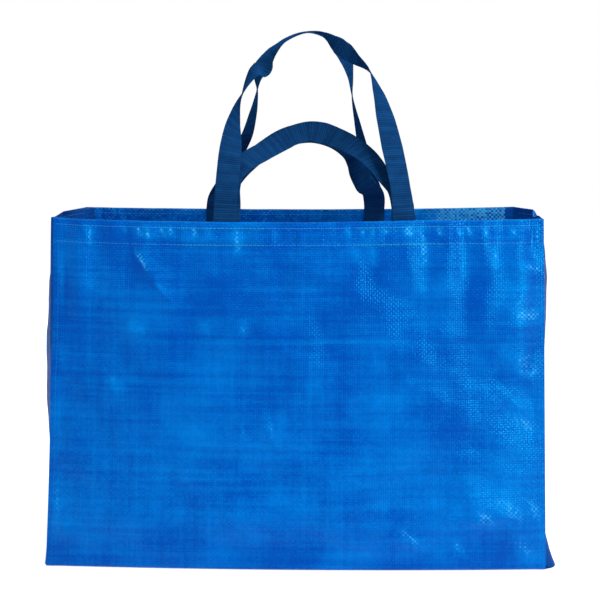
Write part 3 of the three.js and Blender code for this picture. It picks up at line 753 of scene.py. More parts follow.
REAR_SHORT = [
    [-1, 0, 0, 90], [-0.97, 0.07, 0.05, 90], [-0.88, 0.2, 0.16, 86], [-0.76, 0.4, 0.36, 66],
    [-0.6, 0.58, 0.56, 60], [-0.36, 0.78, 0.78, 60], [-0.08, 0.94, 0.93, 66], [0.2, 0.99, 0.967, 68],
    [0.47, 0.92, 0.86, 66], [0.68, 0.765, 0.7, 72], [0.75, 0.63, 0.6, 70], [0.79, 0.49, 0.49, 74],
    [0.84, 0.385, 0.4, 78], [0.88, 0.32, 0.33, 98], [0.93, 0.27, 0.27, 118], [0.975, 0.22, 0.2, 112],
    [1, 0.13, 0.08, 94], [1, 0, 0, 90],
]
print("stations:", [len(stations) for stations in (FRONT_LONG, REAR_LONG, FRONT_SHORT, REAR_SHORT)])

# %% [markdown]
# Webbing is woven with thick weft yarns, so it has ribs across it. They are about 2.2 mm apart on the real
# webbing and drawn 3 mm apart, so that they can show. They are made in the mesh: the profile grows and
# shrinks a little as it moves along the path.

# %% Sizes of the webbing
WEBBING_WIDTH, WEBBING, WEBBING_GAP = 30 * MM, 1.4 * MM, 0.3 * MM
SEWN_LENGTH, SEWN_FADE, FOOT_TOP = 36 * MM, 30 * MM, 1 * MM
OUTER_LAYER = LAYER_STEP + CLOTH / 2 + WEBBING_GAP + WEBBING / 2
INNER_LAYER = OUTER_LAYER + WEBBING + WEBBING_GAP
LONG_RISE, SHORT_RISE, CROSSING_GAP = 249 * MM, 115 * MM, 0.8 * MM
REAR_LONG_RISE = LONG_RISE + WEBBING + CROSSING_GAP
RIB_PITCH, RIB_HEIGHT, STEPS_PER_RIB = 3.0 * MM, 0.2 * MM, 4
SPAN_STEPS, FOOT_STEPS, TURN_EASE = 40, 24, 12 * MM
PROFILE_POINTS, PROFILE_SQUARENESS = 15, 12
FRONT_SHORT_PAIR = dict(side=FRONT, offset=25 * MM, spacing=226 * MM)
print("webbing lies", round(OUTER_LAYER, 5), "and", round(INNER_LAYER, 5), "inside the panels")

# %% [markdown]
# The path of a handle passes through all its stations. A Bezier curve would need two control points at each
# of them. A Catmull-Rom curve needs none, because it takes its direction at a station from the stations
# beside it. The sewn feet, which go down inside the hem, are added at both ends.

# %% Path of a handle
def smooth_path(points):
    """Centripetal Catmull-Rom curve through the points, with the end spans mirrored outwards."""
    p = np.vstack([2 * points[0] - points[1], points, 2 * points[-1] - points[-2]])
    gap = np.sum(np.diff(p, axis=0) ** 2, axis=1)[:, None] ** 0.25
    p0, p1, p2, p3 = p[:-3], p[1:-2], p[2:-1], p[3:]
    g0, g1, g2 = gap[:-2], gap[1:-1], gap[2:]
    leave = g1 * ((p1 - p0) / g0 - (p2 - p0) / (g0 + g1) + (p2 - p1) / g1)
    arrive = g1 * ((p2 - p1) / g1 - (p3 - p1) / (g1 + g2) + (p3 - p2) / g2)
    t = np.linspace(0, 1, SPAN_STEPS, endpoint=False)[:, None, None]
    curve = p1 + leave * t + (3 * p2 - 3 * p1 - 2 * leave - arrive) * t**2
    curve = curve + (2 * p1 - 2 * p2 + leave + arrive) * t**3
    return np.vstack([curve.swapaxes(0, 1).reshape(-1, 3), points[-1]])


def handle_path(pair, layer, rise, stations):
    """Centres and turns along a handle, from the end of one sewn foot to the end of the other."""
    across, up, inward, turn = np.array(stations, float).T
    x = pair["offset"] + across * pair["spacing"] / 2
    rim = panel_point(pair["side"], 2 * x / RIM_WIDTH, 1.0, layer)
    curve = smooth_path(np.stack([rim[:, 0], mix(rim[:, 1], 0, inward), rim[:, 2] + up * rise], -1))
    turns = np.interp(np.arange(len(curve)) / SPAN_STEPS, np.arange(len(turn)), turn)
    height = rise_below(np.linspace(SEWN_LENGTH, FOOT_TOP, FOOT_STEPS))
    left, right = [panel_point(pair["side"], 2 * leg / RIM_WIDTH, height, layer) for leg in (x[0], x[-1])]
    return np.vstack([left, curve, right[::-1]]), np.pad(turns, FOOT_STEPS, mode="edge")


def even_steps(path, turns):
    """The path at even steps of a quarter rib, with the turn smoothed over 12 mm."""
    run = run_length(path)
    count = int(round(run[-1] / RIB_PITCH)) * STEPS_PER_RIB
    at = np.linspace(0, run[-1], count + 1)
    window = np.hanning(int(TURN_EASE / at[1]) + 2)[1:-1]
    reach = window.size
    eased = np.pad(np.interp(at, run, turns), reach, mode="edge")
    eased = np.convolve(eased, window / window.sum(), mode="same")[reach:-reach]
    return at, along_path(at, run, path), np.radians(eased)


print("a curve through 3 stations has", len(smooth_path(np.eye(3))), "points")

# %% Surface of the webbing
def webbing_profile():
    """Flat oval: y = (1 - |x|^12)^0.5, given as shares of the half width and half thickness."""
    x = np.cos(np.linspace(0, np.pi, PROFILE_POINTS))
    top = np.stack([x, np.sqrt(1 - np.abs(x) ** PROFILE_SQUARENESS)], -1)
    return np.vstack([top, top[-2:0:-1] * [1, -1]])


def webbing_surface(at, centres, turn):
    """Profile carried along a path. Width = cos(turn) * rearward + sin(turn) * face on, and the half
    thickness swells by sin^2(pi distance / rib pitch) at each rib."""
    tangent = unit(np.gradient(centres, axis=0))
    rearward = unit(np.array([0.0, 1.0, 0.0]) - tangent * tangent[:, 1:2])
    face_on = np.cross(tangent, rearward)
    width = np.cos(turn)[:, None] * rearward + np.sin(turn)[:, None] * face_on
    normal = np.cross(tangent, width)
    half = WEBBING / 2 - RIB_HEIGHT + RIB_HEIGHT * np.sin(np.pi * at / RIB_PITCH) ** 2
    profile = webbing_profile()
    points = centres[:, None] + width[:, None] * (profile[:, :1] * WEBBING_WIDTH / 2)
    return points + normal[:, None] * (profile[:, 1:] * half[:, None, None])


def hem_push(side, points, centres):
    """How far the hem's dents move the points of a sewn foot: dents at the point - dents at the middle of the
    foot, fading out above the rim."""
    rim_height = centres[0, 2] + SEWN_LENGTH
    height = np.minimum(1, rise_below(rim_height - centres[:, 2:3]))
    here = panel_dents(side, 2 * points[..., 0] / RIM_WIDTH, np.broadcast_to(height, points.shape[:2]))
    centre = panel_dents(side, 2 * centres[:, :1] / RIM_WIDTH, height)
    sewn = 1 - soft_step((centres[:, 2:3] - rim_height) / SEWN_FADE)
    return side * sewn * (here - centre)


def tube_faces(rings, sides):
    """Corner numbers of the quads between the rings of a tube, and of the cap at each end."""
    corner = np.arange(rings * sides).reshape(rings, sides)
    ahead = np.roll(corner, -1, axis=1)
    quads = np.stack([corner[:-1], ahead[:-1], ahead[1:], corner[1:]], -1).reshape(-1, 4)
    return quads, np.stack([corner[0, ::-1], corner[-1]])


print(len(webbing_profile()), "points round the webbing")

# %% Webbing handles
def webbing_handle(name, pair, layer, rise, stations):
    """Webbing along a handle's path, whose feet follow the dents of the hem. Also gives its cut length."""
    at, centres, turn = even_steps(*handle_path(pair, layer, rise, stations))
    points = webbing_surface(at, centres, turn)
    points[..., 1] += hem_push(pair["side"], points, centres)
    quads, caps = tube_faces(*points.shape[:2])
    aside = webbing_profile()[:, 0] * WEBBING_WIDTH / 2
    flat = np.stack(np.broadcast_arrays(aside, at[:, None]), -1).reshape(-1, 2)
    piece = new_piece(name, points.reshape(-1, 3), quads.tolist() + caps.tolist(), flat)
    cut = round(float(at[-1]), 3)
    print("cut length of", name, cut)
    return piece, cut


front_long, front_long_cut = webbing_handle(
    "front_long_webbing", FRONT_PAIR, OUTER_LAYER, LONG_RISE, FRONT_LONG)
front_short, front_short_cut = webbing_handle(
    "front_short_webbing", FRONT_SHORT_PAIR, INNER_LAYER, SHORT_RISE, FRONT_SHORT)
rear_long, rear_long_cut = webbing_handle(
    "rear_long_webbing", REAR_PAIR, OUTER_LAYER, REAR_LONG_RISE, REAR_LONG)
rear_short, rear_short_cut = webbing_handle(
    "rear_short_webbing", REAR_PAIR, INNER_LAYER, SHORT_RISE, REAR_SHORT)

# %% [markdown]
# Stitches are small lengths of thread that lie on the cloth and dive into it at both ends. One short
# capsule of a few faces is repeated along each row. All stitches of a row are one mesh, because hundreds of
# separate objects would be slow and hard to handle.

# %% Stitches
STITCH_PITCH, STITCH_LENGTH, THREAD_RADIUS = 5.2 * MM, 4.4 * MM, 0.22 * MM
END_MARGIN = 0.6 * STITCH_PITCH
STITCH_RINGS = np.array([[-0.5, 0.3], [-0.38, 1.0], [0.38, 1.0], [0.5, 0.3]])
STITCH_SIDES = 6
print("a stitch has", len(STITCH_RINGS) * STITCH_SIDES, "points")


def stitch_row(path, outward, shift=0.0):
    """Stitches along a path of points. Each is 4 rings of 6 points on the axes tangent, outward and their
    cross product, at even steps along the path. The row can be shifted by a share of a stitch."""
    run = run_length(path)
    at = np.arange(END_MARGIN + shift * STITCH_PITCH, run[-1] - END_MARGIN, STITCH_PITCH)
    start, end = [along_path(at + half, run, path) for half in (-STITCH_LENGTH / 2, STITCH_LENGTH / 2)]
    tangent = unit(end - start)
    out = along_path(at, run, np.broadcast_to(outward, path.shape))
    out = unit(out - tangent * np.sum(out * tangent, -1, keepdims=True))
    aside = np.cross(tangent, out)
    angle = np.arange(STITCH_SIDES) * 2 * np.pi / STITCH_SIDES
    ring = np.cos(angle)[:, None] * out[:, None, None] + np.sin(angle)[:, None] * aside[:, None, None]
    along = STITCH_RINGS[:, :1, None] * STITCH_LENGTH * tangent[:, None, None]
    centre = (start + end)[:, None, None] / 2
    return (centre + along + STITCH_RINGS[:, 1:, None] * THREAD_RADIUS * ring).reshape(len(at), -1, 3)


def thread_piece(name, rows, marked=()):
    """One mesh of all the stitches in a list of rows. The mark value is 1 on the marked rows, which have a
    colour of their own, and 0 on the others."""
    stitches = np.concatenate([*rows, *marked])
    points = stitches.reshape(-1, 3)
    first = np.arange(len(stitches))[:, None, None] * stitches.shape[1]
    faces = []
    for part in tube_faces(len(STITCH_RINGS), STITCH_SIDES):
        faces += (part + first).reshape(-1, part.shape[1]).tolist()
    plain = sum(len(row) for row in rows) * stitches.shape[1]
    print(len(stitches), "stitches in", name)
    return new_piece(name, points, faces, painted_light_and_mark=np.arange(len(points)) >= plain)


# %% [markdown]
# Both hem rows run right round the bag, on the outside and again on the inside of the hem. On the inside
# they stop where webbing covers them. At the handles the outer rows are sewn twice, so the thread shows
# more there. The side seams have a row of blue thread near each edge of the panels.

# %% Stitches of the hem
THREAD_STEP = 0.08 * MM
OUTSIDE, INSIDE = -CLOTH / 2 - THREAD_STEP, LAYER_STEP + CLOTH / 2 + THREAD_STEP
PANEL_SAMPLES, GUSSET_SAMPLES, GUSSET_SHARE = 400, 300, 0.96
SEAM_CLEARANCE, ALLOWANCE_CLEARANCE = 3 * MM, 2 * MM
LEG_OUTER_STOP, LEG_INNER_STOP = 17 * MM, 20 * MM
SECOND_BELOW, SECOND_LEFT, SECOND_RIGHT, SECOND_SHIFT = 0.5 * MM, 64 * MM, 56 * MM, 0.3


def panel_stitches(side, depth, start, end, inward, shift=0.0):
    """Stitches level with the rim, a depth below it, between two places along the width of a panel."""
    x = np.linspace(start, end, PANEL_SAMPLES)
    path = panel_point(side, 2 * x / RIM_WIDTH, rise_below(depth), inward)
    return stitch_row(path, [0.0, side if inward < 0 else -side, 0.0], shift)


def gusset_stitches(gusset, depth, inward):
    """Stitches level with the rim along a gusset's wall."""
    along = np.linspace(-GUSSET_SHARE, GUSSET_SHARE, GUSSET_SAMPLES)
    path = gusset_point(gusset, along, rise_below(depth), inward)
    return stitch_row(path, [gusset["side"] if inward < 0 else -gusset["side"], 0.0, 0.0])


def hem_row(depth):
    """All the stitches of one hem row, outside and inside, and the second row over the handles."""
    edge = RIM_WIDTH / 2 - SEAM_CLEARANCE
    inner_edge = edge - SEAM_ALLOWANCE - ALLOWANCE_CLEARANCE
    rows = [gusset_stitches(gusset, depth, inward)
            for gusset in (LEFT_GUSSET, RIGHT_GUSSET) for inward in (OUTSIDE, INSIDE)]
    second = []
    for pair in (FRONT_PAIR, REAR_PAIR):
        side, (left, right) = pair["side"], leg_places(pair)
        rows.append(panel_stitches(side, depth, -edge, edge, OUTSIDE))
        rows.append(panel_stitches(side, depth, -inner_edge, left - LEG_OUTER_STOP, INSIDE))
        rows.append(panel_stitches(side, depth, left + LEG_INNER_STOP, right - LEG_INNER_STOP, INSIDE))
        rows.append(panel_stitches(side, depth, right + LEG_OUTER_STOP, inner_edge, INSIDE))
        for leg in (left, right):
            start, end = leg - SECOND_LEFT, leg + SECOND_RIGHT
            second.append(panel_stitches(side, depth + SECOND_BELOW, start, end, OUTSIDE, SECOND_SHIFT))
    return rows, second


upper_thread = thread_piece("upper_hem_thread", *hem_row(UPPER_ROW))
lower_thread = thread_piece("lower_hem_thread", *hem_row(LOWER_ROW))

# %% Stitches of the side seams and handle feet
SEAM_ROW, SEAM_START, SEAM_STOP = 7 * MM, 0.02, 3 * MM
FOOT_ROW_HALF = 14 * MM


def seam_row(gusset, side):
    """Stitches up a side seam on the outside of a panel."""
    rise = np.linspace(SEAM_START, rise_below(LOWER_ROW + SEAM_STOP), PANEL_SAMPLES)
    edge = mix(BASE_WIDTH, RIM_WIDTH, rise) / 2
    path = panel_point(side, gusset["side"] * (edge - SEAM_ROW) / edge, rise, OUTSIDE)
    return stitch_row(path, [0.0, side, 0.0])


def foot_rows(pair):
    """Rows of stitches across the inner face of the webbing where it is sewn to the hem."""
    lie = INNER_LAYER + WEBBING / 2 - THREAD_STEP
    return [panel_stitches(pair["side"], depth, leg - FOOT_ROW_HALF, leg + FOOT_ROW_HALF, lie)
            for leg in leg_places(pair) for depth in (UPPER_ROW, LOWER_ROW)]


seam_thread = thread_piece("side_seam_thread", [
    seam_row(gusset, side) for gusset in (LEFT_GUSSET, RIGHT_GUSSET) for side in (FRONT, REAR)])
foot_thread = thread_piece("handle_foot_thread", foot_rows(FRONT_SHORT_PAIR) + foot_rows(REAR_PAIR))

# %% [markdown]
# Materials come next. Colours are written as they look on screen, as sRGB hex values, and shaders work in
# linear light, so one function converts them. Another adds a node with its settings and links.

# %% Colour and node helpers
def linear(code):
    """Linear RGBA of an sRGB hex value: v / 12.92 below 0.04045, else ((v + 0.055) / 1.055)^2.4."""
    value = np.array([int(code[i:i + 2], 16) / 255 for i in (1, 3, 5)])
    low, high = value / 12.92, ((value + 0.055) / 1.055) ** 2.4
    return (*np.where(value < 0.04045, low, high).tolist(), 1.0)


def new_material(name):
    """Empty node material and its tree."""
    material = bpy.data.materials.new(name)
    material.use_nodes = True
    material.node_tree.nodes.clear()
    print("material", name)
    return material, material.node_tree


def add(tree, kind, inputs=None, **settings):
    """Adds a node, sets its properties, and fills or links its inputs. A node stands for its first output."""
    node = tree.nodes.new(kind)
    for key, value in settings.items():
        setattr(node, key, value)
    for key, value in (inputs or {}).items():
        if isinstance(value, bpy.types.Node):
            value = value.outputs[0]
        if isinstance(value, bpy.types.NodeSocket):
            tree.links.new(value, node.inputs[key])
        else:
            node.inputs[key].default_value = value
    return node


print("half grey on a screen is", round(linear("#808080")[0], 3), "in linear light")

# %% [markdown]
# The cloth is laminated polypropylene: flat tapes about 3 mm wide, woven over and under, with a clear film
# melted onto the outside. The film gives a soft sheen, and each crossing of the tapes is a small pillow that
# catches the light on its own. An image of cloth could be laid over the mesh. Here nodes work the weave out
# from the flat cut instead, so it follows every fold and stays sharp. A crossing shows either the upright
# tape or the level one, in turn, like the squares of a chessboard.

# %% Weave of the tapes
TAPE_ACROSS, TAPE_DOWN, EDGE_POWER = 3.1 * MM, 2.95 * MM, 6.0


def weave_height(tree):
    """Height of the weave, 0 to 1: cos(pi b) (1 - |2a|^6) with a across the upper tape and b along it.
    Returns the height, which tape is the upper one, the random tones of that tape and of the crossing, and
    the flat coordinates."""
    flat = add(tree, "ShaderNodeUVMap", uv_map="flat")
    tapes_per_metre = (1 / TAPE_ACROSS, 1 / TAPE_DOWN, 0)
    tapes = add(tree, "ShaderNodeVectorMath", {0: flat, 1: tapes_per_metre}, operation="MULTIPLY")
    cell = add(tree, "ShaderNodeVectorMath", {0: tapes}, operation="FLOOR")
    grain = add(tree, "ShaderNodeTexWhiteNoise", {"Vector": cell}, noise_dimensions="2D")
    cell = add(tree, "ShaderNodeSeparateXYZ", {0: cell})
    part = add(tree, "ShaderNodeVectorMath", {0: tapes}, operation="FRACTION")
    part = add(tree, "ShaderNodeVectorMath", {0: part, 1: (0.5, 0.5, 0)}, operation="SUBTRACT")
    part = add(tree, "ShaderNodeSeparateXYZ", {0: part})
    total = add(tree, "ShaderNodeMath", {0: cell.outputs[0], 1: cell.outputs[1]}, operation="ADD")
    upper = add(tree, "ShaderNodeMath", {0: total, 1: 2.0}, operation="FLOORED_MODULO")
    a = add(tree, "ShaderNodeMix", {0: upper, 2: part.outputs[0], 3: part.outputs[1]})
    b = add(tree, "ShaderNodeMix", {0: upper, 2: part.outputs[1], 3: part.outputs[0]})
    a = add(tree, "ShaderNodeMath", {0: a}, operation="ABSOLUTE")
    a = add(tree, "ShaderNodeMath", {0: a, 1: 2.0}, operation="MULTIPLY")
    edge = add(tree, "ShaderNodeMath", {0: a, 1: EDGE_POWER}, operation="POWER")
    edge = add(tree, "ShaderNodeMath", {0: 1.0, 1: edge}, operation="SUBTRACT")
    arch = add(tree, "ShaderNodeMath", {0: b, 1: np.pi}, operation="MULTIPLY")
    arch = add(tree, "ShaderNodeMath", {0: arch}, operation="COSINE")
    height = add(tree, "ShaderNodeMath", {0: edge, 1: arch}, operation="MULTIPLY")
    level = add(tree, "ShaderNodeMath", {0: cell.outputs[1], 1: 0.5}, operation="ADD")
    number = add(tree, "ShaderNodeMix", {0: upper, 2: cell.outputs[0], 3: level})
    tone = add(tree, "ShaderNodeTexWhiteNoise", {"W": number}, noise_dimensions="1D")
    return height, upper, tone, grain, flat


print(round(1 / TAPE_ACROSS), "tapes to a metre across and", round(1 / TAPE_DOWN), "down")

# %% Coated tape cloth
RELIEF, CLOUD_SIZE, CRINKLE_SIZE, CRINKLE_DEPTH = 0.14 * MM, 85 * MM, 9 * MM, 0.35 * MM
# Streaks to a metre, across and down: level ones are about 250 by 8 mm and upright ones 8 by 170 mm.
LEVEL_STREAKS, UPRIGHT_STREAKS = (4.0, 130.0, 0), (120.0, 6.0, 0)
# How much each pattern lightens the cloth, and how dark it is without them. The pillow pattern is painted
# shade, lighter on the tops of the tape crossings and darker in the grooves, and the last pattern is the
# painted light held at each point.
CLOTH_TONES = dict(clouds=1.6, level=0.8, upright=0.4, tape=0.1, grain=0.13, pillow=0.26, painted_light_and_mark=0.8)
CLOTH_DARKEST = -1.51
DOT_GRAIN, DOT_UPPER, DOT_LEVEL = 0.9, 0.7, -0.8
GLINT_GAIN, GLINT_FROM, ROUGHNESS_SPREAD, POLYPROPYLENE_IOR = 1.3, 0.6, 0.1, 1.49


def tape_cloth(name, deep, light, glint_colour, roughness, gloss, tint):
    """Woven tape cloth: colour varies in clouds, in streaks along the tapes and from tape to tape, and the
    tops of the tape crossings are painted lighter than the grooves, as painted shade. Painted light falls
    mostly on every other crossing, as glints on single tapes: light (1 + light (0.9 grain + 0.7 upper -
    0.8)). Slight painted light makes the cloth paler, and strong painted light shows the glint colour, a
    painted highlight."""
    material, tree = new_material(name)
    height, upper, tone, grain, flat = weave_height(tree)
    clouds = add(tree, "ShaderNodeTexNoise", {"Vector": flat, "Scale": 1 / CLOUD_SIZE, "Detail": 4.0})
    level = add(tree, "ShaderNodeVectorMath", {0: flat, 1: LEVEL_STREAKS}, operation="MULTIPLY")
    level = add(tree, "ShaderNodeTexNoise", {"Vector": level, "Scale": 1.0, "Detail": 4.0})
    upright = add(tree, "ShaderNodeVectorMath", {0: flat, 1: UPRIGHT_STREAKS}, operation="MULTIPLY")
    upright = add(tree, "ShaderNodeTexNoise", {"Vector": upright, "Scale": 1.0, "Detail": 3.0})
    painted_light_and_mark = add(tree, "ShaderNodeAttribute", attribute_name="painted_light_and_mark").outputs["Fac"]
    dots = add(tree, "ShaderNodeMath", {0: grain, 1: DOT_GRAIN, 2: DOT_LEVEL}, operation="MULTIPLY_ADD")
    dots = add(tree, "ShaderNodeMath", {0: upper, 1: DOT_UPPER, 2: dots}, operation="MULTIPLY_ADD")
    dots = add(tree, "ShaderNodeMath", {0: dots, 1: painted_light_and_mark, 2: 1.0}, operation="MULTIPLY_ADD")
    painted_light_and_mark = add(tree, "ShaderNodeMath", {0: painted_light_and_mark, 1: dots}, operation="MULTIPLY")
    patterns = dict(
        clouds=clouds, level=level, upright=upright, tape=tone, grain=grain, pillow=height, painted_light_and_mark=painted_light_and_mark)
    shade = CLOTH_DARKEST
    for key, strength in CLOTH_TONES.items():
        shade = add(tree, "ShaderNodeMath", {
            0: patterns[key], 1: strength, 2: shade}, operation="MULTIPLY_ADD")
    shade.use_clamp = True
    cloth = add(tree, "ShaderNodeMix", {0: shade, 6: linear(deep), 7: linear(light)}, data_type="RGBA")
    glint_share = add(tree, "ShaderNodeMath", {
        0: painted_light_and_mark, 1: GLINT_GAIN, 2: -GLINT_GAIN * GLINT_FROM}, operation="MULTIPLY_ADD", use_clamp=True)
    cloth = add(tree, "ShaderNodeMix", {
        0: glint_share, 6: cloth.outputs[2], 7: linear(glint_colour)}, data_type="RGBA")
    crinkle = add(tree, "ShaderNodeTexNoise", {"Vector": flat, "Scale": 1 / CRINKLE_SIZE, "Detail": 2.0})
    crinkle = add(tree, "ShaderNodeBump", {"Height": crinkle, "Distance": CRINKLE_DEPTH, "Strength": 1.0})
    bump = add(tree, "ShaderNodeBump", {
        "Height": height, "Distance": RELIEF, "Strength": 1.0, "Normal": crinkle})
    smoothest = roughness - ROUGHNESS_SPREAD / 2
    rough = add(tree, "ShaderNodeMath", {
        0: clouds, 1: ROUGHNESS_SPREAD, 2: smoothest}, operation="MULTIPLY_ADD")
    shader = add(tree, "ShaderNodeBsdfPrincipled", {
        "Base Color": cloth.outputs[2], "Roughness": rough, "IOR": POLYPROPYLENE_IOR, "Normal": bump,
        "Specular IOR Level": gloss, "Specular Tint": linear(tint)})
    add(tree, "ShaderNodeOutputMaterial", {0: shader})
    return material


# The third colour of each cloth is its glint colour, a painted highlight.
film_side = tape_cloth(
    "laminated_polypropylene_weave", "#0041B4", "#0082E6", "#50C0FF",
    roughness=0.22, gloss=0.6, tint="#1FD2FF")
# The gussets take a duller copy of the coated cloth: its darker colours are painted shade, as the gussets are
# seen at a grazing angle, and its roughness and low gloss keep them from reflecting the white studio.
shaded_gusset_side = tape_cloth(
    "gusset_weave_painted_shade", "#04489E", "#1468C0", "#6A9CCB",
    roughness=0.6, gloss=0.1, tint="#80C0FF")
# The inside face is the bare, uncoated side, and its colours are also painted lighter than the film's, since
# the inside of the bag gets less light.
bare_side = tape_cloth(
    "bare_polypropylene_weave", "#0A5CC0", "#1280EA", "#4C9CE6",
    roughness=0.3, gloss=0.6, tint="#80D8FF")

# %% [markdown]
# The webbing is spun polypropylene yarn, which is matt, because its fine hairs scatter the light. The ribs
# are in the mesh already. The shader adds the yarns that run along the webbing, and painted shade: lighter
# rib crests and darker gaps between ribs.

# %% Webbing
YARN_PITCH, YARN_DEPTH, FUZZ_SIZE = 1.0 * MM, 0.05 * MM, 14 * MM
# The crest pattern is painted shade: lighter on the rib crests and darker between them.
WEBBING_TONES, WEBBING_DARKEST = dict(crest=0.9, rib=0.3, fuzz=0.5), -0.2


def webbing_material():
    """Navy webbing: lengthwise yarns 1 mm apart as bump, a tone that changes from rib to rib, and painted
    shade between ribs.
    """
    material, tree = new_material("woven_polypropylene_webbing")
    flat = add(tree, "ShaderNodeUVMap", uv_map="flat")
    place = add(tree, "ShaderNodeSeparateXYZ", {0: flat})
    yarn = add(tree, "ShaderNodeMath", {0: place.outputs[0], 1: 2 * np.pi / YARN_PITCH}, operation="MULTIPLY")
    yarn = add(tree, "ShaderNodeMath", {0: yarn}, operation="SINE")
    ribs = add(tree, "ShaderNodeMath", {0: place.outputs[1], 1: 1 / RIB_PITCH}, operation="MULTIPLY")
    rib = add(tree, "ShaderNodeMath", {0: ribs}, operation="FLOOR")
    rib = add(tree, "ShaderNodeTexWhiteNoise", {"W": rib}, noise_dimensions="1D")
    crest = add(tree, "ShaderNodeMath", {0: ribs, 1: 0.5}, operation="PINGPONG")
    fuzz = add(tree, "ShaderNodeTexNoise", {"Vector": flat, "Scale": 1 / FUZZ_SIZE, "Detail": 4.0})
    patterns = dict(crest=crest, rib=rib, fuzz=fuzz)
    shade = WEBBING_DARKEST
    for key, strength in WEBBING_TONES.items():
        shade = add(tree, "ShaderNodeMath", {
            0: patterns[key], 1: strength, 2: shade}, operation="MULTIPLY_ADD")
    shade.use_clamp = True
    colour = add(tree, "ShaderNodeMix", {
        0: shade, 6: linear("#0A2952"), 7: linear("#174E86")}, data_type="RGBA")
    bump = add(tree, "ShaderNodeBump", {"Height": yarn, "Distance": YARN_DEPTH, "Strength": 1.0})
    shader = add(tree, "ShaderNodeBsdfPrincipled", {
        "Base Color": colour.outputs[2], "Roughness": 0.7, "IOR": POLYPROPYLENE_IOR, "Normal": bump,
        "Specular IOR Level": 0.0, "Sheen Weight": 0.25, "Sheen Roughness": 0.4,
        "Sheen Tint": linear("#1660A8")})
    add(tree, "ShaderNodeOutputMaterial", {0: shader})
    return material


webbing = webbing_material()

# %% [markdown]
# Sewing thread is two plies twisted together, which shows as slanted bands. The hem is sewn in light blue,
# and over the handles a second row in green covers it. The side seams are blue, and the feet of the handles
# navy.

# %% Thread
# In a slanted wave of scale 1, a light band is 0.31 from a dark one along each axis. The plies are drawn
# 1.2 mm wide, so that they can show.
BAND_SPACING, PLY_WIDTH, PLY_DEPTH = 0.31, 1.2 * MM, 0.05 * MM


def thread_material(name, dark, light, marked):
    """Spun polyester thread with plies as slanted bands. Rows whose mark value is 1 take the third colour."""
    material, tree = new_material(name)
    place = add(tree, "ShaderNodeTexCoord").outputs["Object"]
    plies = add(tree, "ShaderNodeTexWave", {
        "Vector": place, "Scale": BAND_SPACING / PLY_WIDTH, "Distortion": 1.0}, bands_direction="DIAGONAL")
    plies = plies.outputs[1]
    colour = add(tree, "ShaderNodeMix", {0: plies, 6: linear(dark), 7: linear(light)}, data_type="RGBA")
    mark = add(tree, "ShaderNodeAttribute", attribute_name="painted_light_and_mark").outputs["Fac"]
    colour = add(tree, "ShaderNodeMix", {
        0: mark, 6: colour.outputs[2], 7: linear(marked)}, data_type="RGBA")
    bump = add(tree, "ShaderNodeBump", {"Height": plies, "Distance": PLY_DEPTH})
    shader = add(tree, "ShaderNodeBsdfPrincipled", {
        "Base Color": colour.outputs[2], "Roughness": 0.6, "IOR": 1.5, "Specular IOR Level": 0.1,
        "Normal": bump})
    add(tree, "ShaderNodeOutputMaterial", {0: shader})
    return material


hem_thread = thread_material("spun_polyester_light_blue", "#2A8FDC", "#55B4EC", "#28A46C")
blue_thread = thread_material("spun_polyester_blue", "#0A66C8", "#2C90EA", "#2C90EA")
navy_thread = thread_material("spun_polyester_navy", "#0B2A52", "#1B4A80", "#1B4A80")

# %% [markdown]
# The studio is a white floor under a white sky. The sky lights the bag evenly from all round, and the floor
# throws light back up, which is why the outside of the bag is brighter than the inside of its rim. Three
# small lamps in front add the glints in the film, one above lights the inside, and one behind the rear.

# %% Floor and sky
FLOOR_HALF, FLOOR_GLOW, SKY_LIGHT = 6, 0.7, 0.41


def seen_directly(tree):
    """1 for camera, glossy and transmission rays, and 0 for the light that falls on the bag."""
    rays = add(tree, "ShaderNodeLightPath").outputs
    seen = add(tree, "ShaderNodeMath", {0: rays["Is Camera Ray"], 1: rays["Is Glossy Ray"]}, operation="ADD")
    return add(tree, "ShaderNodeMath", {
        0: seen, 1: rays["Is Transmission Ray"]}, operation="ADD", use_clamp=True)


def white_floor():
    """Level floor that keeps the bag's shadow and looks white to the camera and in reflections."""
    mesh = bpy.data.meshes.new("studio_floor")
    corners = [(x * FLOOR_HALF, y * FLOOR_HALF, 0) for x, y in ((-1, -1), (1, -1), (1, 1), (-1, 1))]
    mesh.from_pydata(corners, [], [(0, 1, 2, 3)])
    floor = bpy.data.objects.new("studio_floor", mesh)
    bpy.context.scene.collection.objects.link(floor)
    material, tree = new_material("white_studio_floor")
    glow = add(tree, "ShaderNodeMath", {0: seen_directly(tree), 1: FLOOR_GLOW}, operation="MULTIPLY")
    shader = add(tree, "ShaderNodeBsdfPrincipled", {
        "Base Color": linear("#F0F0F0"), "Roughness": 0.9, "Specular IOR Level": 0.0,
        "Emission Color": linear("#FFFFFF"), "Emission Strength": glow})
    add(tree, "ShaderNodeOutputMaterial", {0: shader})
    mesh.materials.append(material)


def white_sky():
    """White world that lights at a set strength and looks plain white to the camera and in reflections."""
    world = bpy.data.worlds.new("studio_sky")
    world.use_nodes = True
    tree = world.node_tree
    tree.nodes.clear()
    level = add(tree, "ShaderNodeMix", {0: seen_directly(tree), 2: SKY_LIGHT, 3: 1.0})
    sky = add(tree, "ShaderNodeBackground", {0: (1, 1, 1, 1), 1: level})
    add(tree, "ShaderNodeOutputWorld", {0: sky})
    bpy.context.scene.world = world


white_floor()
white_sky()
bpy.context.scene.view_settings.view_transform = "Standard"

# %% Lamps
LAMP_AIM = np.array([0, 0, 0.3])
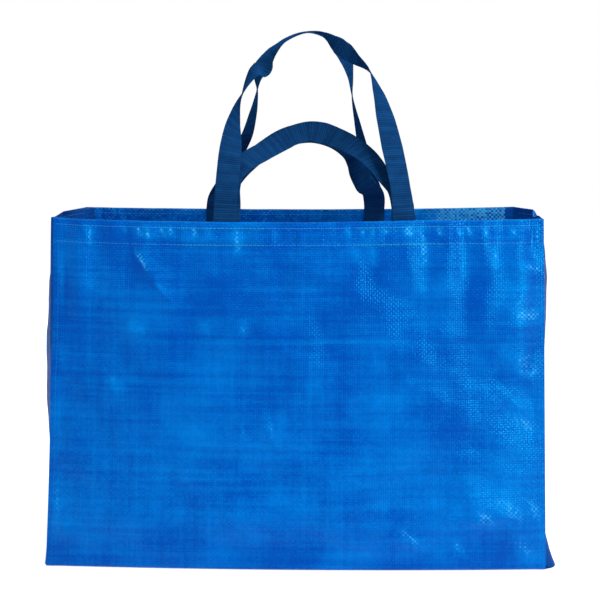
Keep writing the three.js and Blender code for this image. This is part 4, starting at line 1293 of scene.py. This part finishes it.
# Each row is a lamp's name, place, width and height in metres, and power in watts.
LAMPS = [
    ("right_lamp", (1.05, -1.9, 0.5), 0.26, 0.8, 14),
    ("left_lamp", (-0.75, -1.9, 0.75), 0.16, 0.36, 2),
    ("middle_lamp", (-0.1, -2.0, 1.0), 0.2, 0.2, 2.5),
    ("top_lamp", (0.34, -0.14, 1.5), 0.3, 0.3, 8.5),
    ("rear_lamp", (-0.9, 1.9, 0.7), 0.4, 0.8, 8),
]
for name, place, width, height, power in LAMPS:
    light = bpy.data.lights.new(name, "AREA")
    light.shape = "RECTANGLE"
    light.size, light.size_y = width, height
    light.energy = power
    lamp = bpy.data.objects.new(name, light)
    lamp.location = place
    x, y, z = unit(LAMP_AIM - np.array(place))
    lamp.rotation_euler = (np.arccos(-z), 0, np.arctan2(y, x) - np.pi / 2)
    bpy.context.scene.collection.objects.link(lamp)
print(len(LAMPS), "lamps face the middle of the bag")

# %% [markdown]
# Last, each piece gets its materials, rides on the bag's only body and stands for its solid, which is
# hidden. The name of its finish is printed with it.

# %% Hand over the pieces
def hand_over(piece, slot, nodes, *materials):
    """Gives a piece its materials and ties it to the frame."""
    for material in materials:
        piece.data.materials.append(material)
    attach(piece, "root")
    if nodes:
        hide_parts(*nodes)
    print(piece.name, "is", slot)


hand_over(body, "coated_cloth", ["body_panel"], film_side, bare_side)
hand_over(left_gusset, "coated_cloth", ["left_gusset"], shaded_gusset_side, bare_side)
hand_over(right_gusset, "coated_cloth", ["right_gusset"], shaded_gusset_side, bare_side)
hand_over(front_long, "webbing", ["front_long_handle"], webbing)
hand_over(front_short, "webbing", ["front_short_handle"], webbing)
hand_over(rear_long, "webbing", ["rear_long_handle"], webbing)
hand_over(rear_short, "webbing", ["rear_short_handle"], webbing)
hand_over(upper_thread, "thread", ["upper_hem_stitching"], hem_thread)
hand_over(lower_thread, "thread", ["lower_hem_stitching"], hem_thread)
hand_over(seam_thread, "thread", [], blue_thread)
hand_over(foot_thread, "thread", [], navy_thread)
